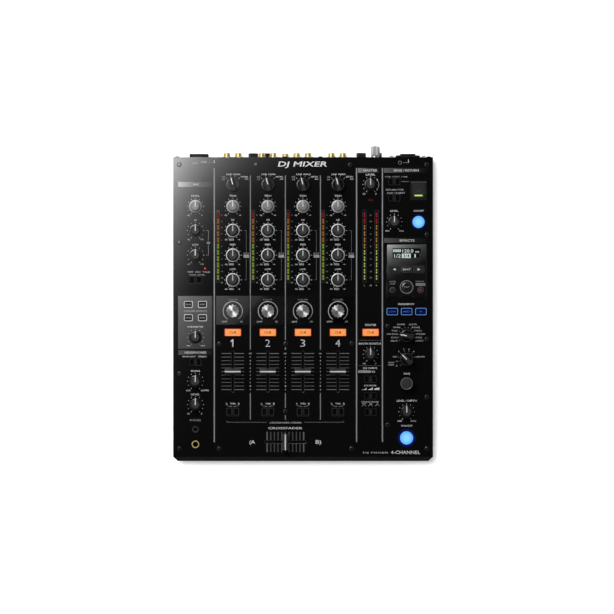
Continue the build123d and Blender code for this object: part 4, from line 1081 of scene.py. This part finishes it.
def make_meters():
    shape = Shape("level_meters")
    for x in CHANNEL_X:
        meter(shape, x + METER_OFFSET, (1, 4, 6), 1.3, CHANNEL_METER)
        shape.stand(x + METER_OFFSET, METER_Y + 43.0, pad(3.1, 1.6, 0.0, 0.1, 0.4, 0.02), METER_CAP)
    for side in (-1, 1):
        meter(shape, MASTER_X + side * MASTER_METER_OFFSET, (2, 4, 5), 0.95, MASTER_METER)
    shape.build("case", "clear_window", "display_windows")
    lights = Shape("indicator_lights")
    lights.stand(LEFT_X + 11.8, 43.3, lathe([(1.3, -0.5), (1.3, 0.3), (0.8, 0.7)], 24), RED_LIT)
    lights.stand(MASTER_X, 127.4, pad(6.2, 1.9, -0.5, 0.2, 0.4, 0.08), RED_DIM)
    lights.stand(USB_X, 133.1, pad(13.6, 4.4, -0.5, 0.4, 1.2, 0.1), GREEN_GLOW)
    lights.stand(USB_X, 133.1, pad(9.8, 1.7, -0.5, 0.7, 0.6, 0.2), GREEN_BAR)
    lights.build("case", "clear_window")


WINDOW_X, WINDOW_Y, WINDOW_W, WINDOW_D = 127.5, 40.6, 49.2, 64.9
WINDOW_TOP = 0.8


def make_window():
    """The clear plate over the effect display, with a hole for each of the buttons that stand in it."""
    top, bevel = PANEL_TOP + WINDOW_TOP, 0.6
    plate = loft([
        rounded(WINDOW_W, WINDOW_D, 1.5, PANEL_TOP),
        rounded(WINDOW_W, WINDOW_D, 1.5, top - bevel),
        rounded(WINDOW_W - 2 * bevel, WINDOW_D - 2 * bevel, 1.2, top),
    ])
    low, high = PANEL_TOP - 1, top + 1
    holes = []
    for dx in (-BEAT_OFFSET, BEAT_OFFSET):
        holes.append(moved(pad(13.7, 8.3, low, high, 0.9, 0.05), at(EFFECT_X + dx, BEAT_Y)))
    for dx, y, radius in ((0.0, TAP_Y, 7.0), (-SMALL_OFFSET, SMALL_Y, 3.95), (SMALL_OFFSET, SMALL_Y, 3.95)):
        holes.append(moved(lathe([(radius, low), (radius, high)], 72), at(EFFECT_X + dx, y)))
    shape = Shape("effect_window")
    shape.add(cut(moved(plate, at(WINDOW_X, WINDOW_Y)), holes), WINDOW)
    shape.build("case", "clear_window")


def make_display():
    """What is lit or printed on the clear plate."""
    glyphs = Shape("display_glyphs")
    low, high = WINDOW_TOP, WINDOW_TOP + 0.02
    x, y, z = EFFECT_X, 61.8, PANEL_TOP + high
    glyphs.stand(x, y, pad(34.4, 12.6, low, high, 0.4, 0.01), SCREEN)
    glyphs.stand(x - 11.8, y + 3.3, pad(9.6, 3.2, high, high + 0.03, 0.5, 0.01), LIT_GLYPH)
    glyphs.labels(x, y, ("QTZ", -11.8, 3.3, 2.0, SCREEN, 7.6), z=z + 0.04)
    glyphs.labels(
        x, y,
        ("120.0", 1.6, 3.1, 4.0, LIT_GLYPH, 13.4), ("BPM", 13.0, 1.9, 1.7, LIT_GLYPH, 4.4),
        ("1/2", -11.2, -3.0, 4.2, LIT_GLYPH, 8.0), ("1", 10.4, -3.0, 4.0, LIT_GLYPH, 1.6),
        z=z,
    )
    glyphs.stand(x - 0.4, y - 3.0, pad(11.0, 5.4, high, high + 0.03, 0.4, 0.01), LIT_GLYPH)
    glyphs.labels(x, y, ("3/4", -0.4, -3.0, 4.0, SCREEN, 7.8), z=z + 0.04)
    glyphs.stand(x, y - 3.0, frame_ring(33.4, 5.6, 0.35, high, high + 0.02, 0.3), FAINT_INK)
    glyphs.stand(x, BEAT_Y, frame_ring(12.6, 6.8, 0.35, low, high, 0.4), FAINT_INK)
    glyphs.stand(x + 17.0, 23.5, pad(11.6, 3.2, low, high, 0.5, 0.01), DIM_INK)
    glyphs.labels(
        x, 0.0,
        ("BEAT", 0.0, BEAT_Y, 2.3, INK, 9.2), ("AUTO", -17.3, 27.0, 1.6, DIM_INK, 8.0),
        ("/TAP", -17.3, 24.2, 1.6, DIM_INK, 7.0), ("UTILITY", 16.4, 27.2, 1.5, DIM_INK, 10.6),
        z=z,
    )
    glyphs.labels(x, 0.0, ("QUANTIZE", 17.0, 23.5, 1.7, BLACK, 10.0), z=z + 0.05)
    for dx in (-BEAT_OFFSET, BEAT_OFFSET):
        glyphs.stand(x + dx, BEAT_Y, frame_ring(14.6, 9.2, 0.5, low, high + 0.1, 1.0), FADER_GREY)
    glyphs.build("case", "clear_window")


# ---- USB port, headphone jacks and screws ----


def make_usb():
    half = 8.6
    hinge = JOINT_AT["usb_cover"]
    place = Matrix.Translation(hinge)
    across = place @ Matrix.Rotation(math.radians(90), 4, "Y")
    cover = Shape("usb_cover_looks")
    side = [(0.0, -1.6), (-14.2, -1.6), (-14.6, -1.2), (-14.6, -0.4), (-14.3, 0.0), (-1.0, 0.0)]
    cover.add(loft([[(x, y, z) for y, z in side] for x in (-half, half)]), BAR_GREY, place)
    barrel = [(1.0, -half), (1.3, 0.3 - half), (1.3, half - 0.3), (1.0, half)]
    cover.add(lathe(barrel, 32), FADER_GREY, across)
    cover.add(lathe([(0.75, -9.7), (0.75, 9.7)], 24), STEEL, across)
    for i in range(3):
        cover.add(stroke(-3.0, i - 11.6, 3.0, i - 11.6, 0.4, -0.1, 0.12), FADER_GREY, place)
    cover.build("usb_cover", "cover_black", "usb_cover")
    bezel = Shape("usb_bezel")
    y = 139.3
    bezel.stand(USB_X, y, frame_ring(20.7, 24.0, 1.45, -4.0, 0.3, 1.0), BLACK)
    bezel.stand(USB_X, y - 7.3, pad(17.9, 6.6, -4.0, 0.3, 0.3, 0.1), BLACK)
    bezel.stand(USB_X, y + 2.6, frame_ring(17.9, 14.6, 2.4, -6.0, -4.0, 0.4), SOOT)
    for side in (-1, 1):
        bezel.stand(USB_X + side * 9.6, hinge.y - 0.2, pad(1.5, 3.4, 0.0, 1.6, 0.4, 0.3), BLACK)
    bezel.stand(USB_X, y, frame_ring(13.4, 6.0, 0.4, -17.0, -3.8, 0.5), STEEL)
    bezel.stand(USB_X, y + 1.2, pad(10.6, 1.9, -17.0, -7.0, 0.2, 0.1), WHITE)
    bezel.build("case", "socket_black")


def bore(shape, radius, mouth, depth, wall, metal, place):
    """A jack's lined bore, with a floor."""
    floor = mouth - depth
    lip = [(radius + 0.3, mouth + 0.02), (radius, mouth - 0.3)]
    lining = [(wall, floor), (wall, mouth), *lip, (radius, floor)]
    shape.add(lathe(lining, loop=True), metal, place)
    shape.add(lathe([(wall - 0.05, floor - 0.6), (wall - 0.05, floor)]), SOOT, place)


def make_headphone_jacks():
    shape = Shape("headphone_jacks")
    big, small = at(LEFT_X, -173.3, PANEL_TOP), at(LEFT_X, -155.0, PANEL_TOP)
    bore(shape, 3.1, 0.9, 20.0, 3.4, BLACK, big)
    collar = [(4.6, 0.0), (4.55, 1.0), (4.3, 1.25), (3.7, 1.25), (3.45, 1.0), (3.4, 0.0)]
    shape.add(lathe(collar, 64, loop=True), RING_GOLD, big)
    bore(shape, 1.85, 1.0, 12.0, 2.4, BLACK, small)
    collar = [(4.2, 0.0), (4.1, 0.7), (3.5, 1.2), (2.5, 1.0), (2.4, 0.0)]
    shape.add(lathe(collar, 64, loop=True), CAP_GREY, small)
    shape.build("case", "socket_black")


def socket_screw():
    """A low button head with a hexagon socket, its seat at z = 0."""
    outside = ((2.5, 0.0), (2.7, 0.3), (2.7, 0.75), (2.1, 1.1), (1.9, 1.15))
    rings = [round_ring(radius, z, 24) for radius, z in outside]
    return loft([*rings, hex_ring(1.3, 1.15), hex_ring(1.25, 0.3)])


PANEL_SCREWS = (
    [(-103.4, -49.3), (-21.6, -49.3), (59.8, -49.0), (104.2, -27.9), (-21.8, -133.0), (104.3, -149.2)]
    + [(x, 171.15) for x in (-152.3, -57.7, 57.7, 152.3)]
    + [(x, -178.5) for x in (-152.3, -103.4, 59.8, 152.3)]
    + [(-152.3, 75.2), (-152.3, -86.3), (152.3, 85.0), (152.3, -43.7), (152.3, -115.3)]
)
REAR_SCREWS = [(x, 82.8) for x in (-155.0, -22.0, 21.4, 155.0)] + [(x, 12.0) for x in (-155.0, 0.0, 155.0)]
INLET_X, INLET_Z = 129.5, 34.0
FEET = [(x, y) for x in (-125.0, 125.0) for y in (-150.0, 145.0)]


def make_screws():
    shape = Shape("screw_heads")
    for x, y in PANEL_SCREWS:
        shape.add(socket_screw(), DARK_STEEL, at(x, y, PANEL_TOP - 1.3))
        shape.add(lathe([(1.45, -8.0), (1.45, 0.05)], 16), DARK_STEEL, at(x, y, PANEL_TOP - 1.3))
    for x, z in REAR_SCREWS:
        shape.add(socket_screw(), DARK_STEEL, at_back(x, z, REAR_Y))
    for dx in (-20.0, 20.0):
        shape.add(socket_screw(), SOOT, at_back(INLET_X + dx, INLET_Z, REAR_Y + 1.6))
    for x, y in FEET:
        down = Matrix.Translation((x, y, 5.0)) @ Matrix.Rotation(math.pi, 4, "X")
        shape.add(socket_screw(), STEEL, down)
    shape.build("case", "screw_black", "screws")
    feet = Shape("rubber_feet")
    profile = [
        (11.6, 0.0), (12.6, 0.6), (13.0, 2.0), (13.0, 3.2), (12.5, 3.6), (12.5, 4.2), (13.0, 4.6), (13.0, 8.0),
        (1.6, 8.0), (1.6, 5.0), (4.0, 5.0), (4.0, 0.6), (4.5, 0.0), (7.4, 0.0), (7.6, 0.4), (8.6, 0.4), (8.8, 0.0),
    ]
    for x, y in FEET:
        feet.add(lathe(profile, 64, loop=True), RUBBER, at(x, y))
    feet.build("case", "foot_rubber", "feet")


# ---- Rear ----

PHONO_ROWS = (68.0, 50.0)
LOW_ROW = 28.0
PAIR_X = [-86.9 + 43.0 * i for i in range(4)]
PHONO = [(x + dx, z, dx) for x in PAIR_X for z in PHONO_ROWS for dx in (-7.1, 7.1)]
PHONO += [(x + dx, LOW_ROW, dx) for x in PAIR_X[2:] for dx in (-7.1, 7.1)]
PHONO += [(-22.0, LOW_ROW, 0)]
NUT_JACKS = [(-61.7, LOW_ROW), (-43.9, LOW_ROW), (71.8, 52.0), (91.2, 52.0)]


def make_phono_jacks():
    shape = Shape("phono_jacks")
    white = surface("phono_white", (0.7, 0.7, 0.68), 0.4)
    red = surface("phono_red", (0.5, 0.02, 0.02), 0.4)
    nut = [hex_ring(5.4, 0.0), hex_ring(5.4, 0.6), round_ring(4.7, 0.75, 24), round_ring(4.7, 0.0, 24)]
    barrel = [(4.15, -1.4), (4.15, 5.0), (3.95, 5.4), (3.5, 5.45), (3.4, 5.1), (3.4, -1.0)]
    for x, z, dx in PHONO:
        place = at_back(x, z, REAR_Y)
        colour = white if dx > 0 else (red if dx < 0 else BLACK)
        shape.add(loft(nut, True), STEEL, place)
        shape.add(lathe(barrel, 40, loop=True), GOLD, place)
        shape.add(lathe([(3.38, -0.9), (3.38, 3.6), (1.8, 3.8), (1.8, -0.9)], 32, loop=True), colour, place)
        shape.add(lathe([(1.78, -1.0), (1.78, 3.2), (1.3, 3.3), (1.3, -1.0)], 24, loop=True), GOLD, place)
    shape.build("case", "gold_plate", "rca_jacks")


def round_only(radius, z):
    """A circle with as many points as a rounded rectangle has, starting in the same place."""
    return [(*polar(radius, 90 * quarter + 5 + 20 * step), z) for quarter in range(4) for step in range(5)]


def make_rear_sockets():
    shape = Shape("rear_sockets")
    nut = [hex_ring(6.0, 0.0), hex_ring(6.0, 5.4)]
    nut += [round_ring(radius, z, 24) for radius, z in ((5.2, 5.8), (4.5, 5.8), (4.5, 0.0))]
    for x, z in NUT_JACKS:
        place = at_back(x, z, REAR_Y)
        shape.add(loft(nut, True), BLACK, place)
        bore(shape, 3.3, 5.9, 20.0, 4.45, BLACK, place)
    shell = [(11.0, -16.0), (11.0, 0.0), (10.6, 0.3), (9.8, 0.2), (9.7, -0.4), (9.7, -15.0), (9.6, -16.0)]
    for x in (68.0, 94.5):
        place = at_back(x, 27.0, REAR_Y)
        shape.add(lathe(shell, 64, loop=True), DARK_STEEL, place)
        shape.add(lathe([(9.7, -16.0), (9.7, -15.0)], 64), BLACK, place)
        for angle in (150, 30, 270):
            pin = lathe([(1.2, -15.2), (1.2, -3.6), (0.7, -3.0)], 16)
            shape.add(pin, STEEL, place @ at(*polar(3.9, angle)))
    place = at_back(-128.4, 52.0, REAR_Y)
    combo = [rounded(23.5, 28.0, 3.0, 0.0), rounded(23.5, 28.0, 3.0, 3.8), rounded(22.6, 27.1, 2.8, 4.4)]
    combo += [round_only(9.6, z) for z in (4.4, 1.6, 0.0)]
    shape.add(loft(combo, True), BLACK, place)
    shape.add(lathe([(9.58, -1.0), (9.58, 2.2), (3.9, 2.2), (3.9, -1.0)], 48, loop=True), CAP_GREY, place)
    bore(shape, 3.3, 3.4, 20.0, 3.85, BLACK, place)
    for angle in (210, 330, 90):
        shape.add(lathe([(1.5, 2.1), (1.5, 2.3)], 20), SOOT, place @ at(*polar(6.6, angle)))
    shape.build("case", "socket_black", "jack_sockets")


def make_mains():
    shape = Shape("mains_inlet")
    place = at_back(INLET_X, INLET_Z, REAR_Y)
    cavity = [(-12, -8), (12, -8), (12, 4), (8, 8), (-8, 8), (-12, 4)]
    outer = [(-15, -12), (15, -12), (15, 7), (10, 12), (-10, 12), (-15, 7)]
    levels = ((outer, 0.0), (outer, 2.9), (cavity, 3.3), (cavity, -13.8))
    shape.add(loft([[(x, y, z) for x, y in outline] for outline, z in levels], True), BLACK, place)
    shape.add(prism(cavity, -14.4, -13.8), SOOT, place)
    for dx, dz in ((-5.5, -2.4), (5.5, -2.4), (0.0, 2.6)):
        shape.add(pad(1.8, 4.2, -14.0, -3.0, 0.3, 0.4), STEEL, place @ at(dx, dz))
    ear = [rounded(50.0, 14.0, 6.0, z) for z in (0.0, 1.0)] + [rounded(29.0, 13.0, 1.0, z) for z in (1.0, 0.0)]
    shape.add(loft(ear, True), BLACK, place)
    shape.add(pad(19.0, 3.4, 3.0, 4.9, 0.8, 0.4), BLACK, place @ at(0.0, 10.0))
    rock = at_back(INLET_X, 64.0, REAR_Y)
    shape.add(frame_ring(15.3, 23.0, 2.1, -1.4, 2.0, 1.6), BLACK, rock)
    shape.add(frame_ring(11.4, 18.8, 0.3, -12.0, -1.2, 0.4), SOOT, rock)
    shape.add(pad(11.2, 18.6, -12.4, -11.8, 0.3, 0.1), SOOT, rock)
    shape.build("case", "socket_black")


def make_power_rocker():
    shape = Shape("power_rocker")
    where = Matrix.Translation(JOINT_AT["power_switch"]) @ Matrix.Rotation(math.radians(8), 4, "X")
    face = [(2.2, -8.6), (2.9, -5.0), (3.5, -1.2), (3.5, 1.2), (2.9, 5.0), (2.2, 8.6), (-3.5, 7.4), (-3.5, -7.4)]
    shape.add(loft([[(x, y, z) for y, z in reversed(face)] for x in (-5.2, 5.2)]), FADER_GREY, where)
    axle = where @ Matrix.Rotation(math.radians(90), 4, "Y")
    shape.add(lathe([(1.5, -6.1), (1.5, 6.1)], 24), BLACK, axle)
    facing = where @ at_back(0, 0, 0)
    shape.add(stroke(0, 3.6, 0, 6.4, 0.7, 2.3, 3.02), WHITE, facing)
    circle = [(1.7, 2.3), (1.7, 3.02), (1.1, 3.02), (1.1, 2.3)]
    shape.add(lathe(circle, 32, loop=True), WHITE, facing @ at(0, -5.0))
    shape.build("power_switch", "switch_black", "power_switch")


def make_rear_extras():
    shape = Shape("earth_terminal")
    place = at_back(88.9, 72.0, REAR_Y)
    reach = BACK_Y - REAR_Y
    shape.add(lathe([(5.0, 0.0), (5.0, 1.6), (4.6, 2.0)], 40), STEEL, place)
    nut = [(5.2, 2.0), (5.7, 2.5, 0.35), (5.7, reach - 0.8, 0.35), (5.2, reach - 0.2)]
    shape.add(lathe(nut, 144, 36), NICKEL, place)
    shape.add(lathe([(2.0, 0.0), (2.0, reach + 0.3), (1.6, reach + 0.6)], 24), NICKEL, place)
    shape.build("case", "socket_black")
    port = Shape("usb_device_port")
    place = at_back(-109.4, 30.0, REAR_Y)
    port.add(frame_ring(12.0, 11.0, 1.75, -9.5, 0.4, 0.8), STEEL, place)
    port.add(pad(12.0, 11.0, -10.0, -9.4, 0.3, 0.1), SOOT, place)
    port.add(pad(5.6, 3.2, -9.6, -1.2, 0.3, 0.2), WHITE, place)
    port.build("case", "socket_black")
    prints = Shape("rear_lettering")
    words = []
    for n, x in enumerate(PAIR_X, 1):
        words += [(f"CH{n}", x, 78.2, 2.2), ("LINE", x, 61.4, 1.8), ("PHONO", x, 43.4, 1.8)]
    words += [(text, x, z, 1.9) for text, x, z in (
        ("REC OUT", PAIR_X[2], 36.4), ("MASTER 2", PAIR_X[3], 36.4), ("DIGITAL OUT", -22.0, 36.4),
        ("SEND", -61.7, 38.4), ("RETURN", -43.9, 38.4), ("BOOTH", 81.5, 61.4), ("MASTER 1", 81.2, 41.2),
        ("R", 68.0, 42.2), ("L", 94.5, 42.2), ("MIC", -128.4, 69.2), ("USB", -109.4, 38.4), ("GND", 88.9, 81.4),
        ("POWER", INLET_X, 78.4), ("AC IN", INLET_X, 49.2),
    )]
    for text, x, z, height in words:
        size = Matrix.Diagonal((1.1 * height, height, 0.05, 1))
        prints.add(lettering(text)[0], INK, at_back(x, z, REAR_Y + 0.03) @ size)
    prints.build("case", "plate_black")


# ---- What stays as it was drawn in CAD ----


def paint_cad():
    for material, names in (
        (PANEL, ("top_panel",)),
        (CASE, ("chassis", "rear_panel")),
        (BOARD, ("control_board", "main_board", "power_supply")),
        (STEEL, ("potentiometers",)),
        (DARK_STEEL, ("fader_units",)),
    ):
        for name in names:
            materials = frame["nodes"][name].data.materials
            materials.clear()
            materials.append(material)


# ---- Camera, light and table ----

DIAGONAL = 0.7071
CAMERA_HEIGHT = 10.0
VIEW_WIDTH = 0.756
VIEW_CENTRE = (0.00486, -0.0042)


def make_camera():
    data = bpy.data.cameras.new("camera")
    data.sensor_width = 36.0
    data.lens = data.sensor_width * CAMERA_HEIGHT / VIEW_WIDTH
    data.clip_end = 3 * CAMERA_HEIGHT
    camera = bpy.data.objects.new("camera", data)
    camera.location = (*VIEW_CENTRE, PANEL_TOP * MM + CAMERA_HEIGHT)
    bpy.context.scene.collection.objects.link(camera)
    bpy.context.scene.camera = camera


def new_light(name, kind, energy, place, target):
    """A light the camera does not see, facing its target."""
    data = bpy.data.lights.new(name, kind)
    data.energy = energy
    light = bpy.data.objects.new(name, data)
    light.location = place
    light.rotation_mode = "QUATERNION"
    light.rotation_quaternion = (Vector(place) - Vector(target)).to_track_quat("Z", "Y")
    light.visible_camera = False
    bpy.context.scene.collection.objects.link(light)
    return light


def shine_only_on(light, names):
    """Keeps a light's rays to the named pieces."""
    group = bpy.data.collections.new(f"{light.name}_receivers")
    for name in names:
        group.objects.link(bpy.data.objects[name])
    light.light_linking.receiver_collection = group


def glow(name, brightness, height, spare=0.0):
    """A panel of light that hangs at a height over the mixer, and shows in its gloss.

    brightness makes the nodes for it. Its x and y are the place on the mixer, in millimetres, that mirrors
    each point of the light to the camera.
    """
    width, depth = ((CASE_HIGH[i] - CASE_LOW[i] + spare) * MM for i in (0, 1))
    middle = (CASE_LOW + CASE_HIGH) / 2 * MM
    grow = 1 + height / CAMERA_HEIGHT
    place = (middle.x, middle.y, PANEL_TOP * MM + height)
    light = new_light(name, "AREA", 4 * width * depth * grow * grow, place, (middle.x, middle.y, 0))
    light.data.shape = "RECTANGLE"
    light.data.size, light.data.size_y = width * grow, depth * grow
    nodes = Nodes(light.data)
    where = nodes.new("NewGeometry").outputs["Position"]
    split = nodes.new("SeparateXYZ", {"Vector": where}).outputs
    x, y = (
        nodes.maths("MULTIPLY_ADD", split[axis], 1 / grow / MM, centre / MM * (1 - 1 / grow))
        for axis, centre in zip("XY", VIEW_CENTRE)
    )

    def plane(across, up, offset):
        """The socket for across x + up y + offset."""
        return nodes.maths("MULTIPLY_ADD", y, up, nodes.maths("MULTIPLY_ADD", x, across, offset))

    nodes.fill(nodes.tree.nodes["Emission"], {"Strength": brightness(plane, nodes.maths)})
    return light


def corner_glow(plane, do):
    """Brightest at the rear left corner, and fading fast along the diagonal."""
    down, along = do("MAXIMUM", plane(DIAGONAL, -DIAGONAL, 233.0), -8.0), plane(DIAGONAL, DIAGONAL, -11.8)
    squared = do("MULTIPLY", down, down)
    bend = do("MAXIMUM", do("SUBTRACT", squared, do("MULTIPLY", along, along)), 0.0)
    power = do("MULTIPLY_ADD", squared, -0.00002, do("MULTIPLY", bend, -0.000132))
    power = do("MULTIPLY_ADD", down, -0.031, do("MULTIPLY_ADD", along, -0.0075, power))
    return do("MULTIPLY", do("EXPONENT", power), 9.2)


def field_glow(plane, do):
    """Cut off along a diagonal, and brighter away from it, with a weak light beyond."""
    away = do("MINIMUM", plane(-DIAGONAL, DIAGONAL, -40.6), 80.0)
    lit = do("MULTIPLY", do("EXPONENT", do("MULTIPLY", away, 1 / 37.0)), do("GREATER_THAN", away, 0.0))
    weak = do("MAXIMUM", plane(-0.155 / 129.0, 0.0, 0.155 * 42.0 / 129.0), 0.0)
    return do("MULTIPLY_ADD", lit, 0.4, weak)


def window_glow(plane, do):
    """Cut off along a gentle slope across the effect display."""
    away = do("MINIMUM", plane(-0.494, 0.869, 26.2), 40.0)
    lit = do("MULTIPLY", do("EXPONENT", do("MULTIPLY", away, 1 / 9.85)), do("GREATER_THAN", away, 0.0))
    return do("MULTIPLY", lit, 0.1125)


def make_dome():
    """Soft light from all round but dark overhead, and much stronger from the rear left."""
    world = bpy.data.worlds.new("dome")
    bpy.context.scene.world = world
    nodes = Nodes(world)
    where = nodes.new("TexCoord").outputs["Generated"]
    split = nodes.new("SeparateXYZ", {"Vector": where}).outputs
    values = {"From Min": 0.9, "From Max": 0.96, "To Min": 1.0, "To Max": 0.0, "Value": split["Z"]}
    dark = nodes.new("MapRange", values, interpolation_type="SMOOTHSTEP").outputs["Result"]
    lean = nodes.maths("MULTIPLY_ADD", split["X"], -0.495, 1.0)
    lean = nodes.maths("MAXIMUM", nodes.maths("MULTIPLY_ADD", split["Y"], 0.495, lean), 0.05)
    strength = nodes.maths("MULTIPLY", nodes.maths("MULTIPLY", lean, 0.47), dark)
    nodes.fill(nodes.tree.nodes["Background"], {"Color": (1, 1, 1, 1), "Strength": strength})


def make_table():
    table, shader, nodes = new_material("white_table")
    nodes.fill(shader, {
        "Base Color": (0.9, 0.9, 0.9, 1),
        "Emission Color": (1, 1, 1, 1),
        "Emission Strength": 0.31,
        "Roughness": nodes.spread(nodes.noise(300.0), 0.75, 0.9),
    })
    reach = 3.0
    mesh = bpy.data.meshes.new("table")
    corners = [(-reach, -reach, 0), (reach, -reach, 0), (reach, reach, 0), (-reach, reach, 0)]
    mesh.from_pydata(corners, [], [(0, 1, 2, 3)])
    mesh.materials.append(table)
    floor = bpy.data.objects.new("table", mesh)
    floor.location.z = -0.0005
    bpy.context.scene.collection.objects.link(floor)
    sun = new_light("table_sun", "SUN", 2.15, (-0.62, 0.62, 10.0), (0.0, 0.0, 0.0))
    sun.data.angle = math.radians(5.5)
    shine_only_on(sun, ["table"])


def make_stage():
    make_dome()
    key = new_light("key", "AREA", 4.2, (-0.31, 0.53, 1.13), (0.0, 0.0, 0.09))
    key.data.shape = "RECTANGLE"
    key.data.size, key.data.size_y = 0.5, 0.35
    glow("corner_glow", corner_glow, 0.6, 120.0)
    shine_only_on(glow("field_glow", field_glow, 0.55), ["colour_fields"])
    shine_only_on(glow("window_glow", window_glow, 0.5), ["effect_window"])
    make_table()
    bpy.context.scene.view_settings.view_transform = "Standard"


make_camera()
paint_cad()
make_headers()
make_printing()
make_knobs()
make_faders()
make_cue_buttons()
make_effect_buttons()
make_switches()
make_meters()
make_window()
make_display()
make_usb()
make_headphone_jacks()
make_screws()
make_phono_jacks()
make_rear_sockets()
make_mains()
make_power_rocker()
make_rear_extras()
make_stage()
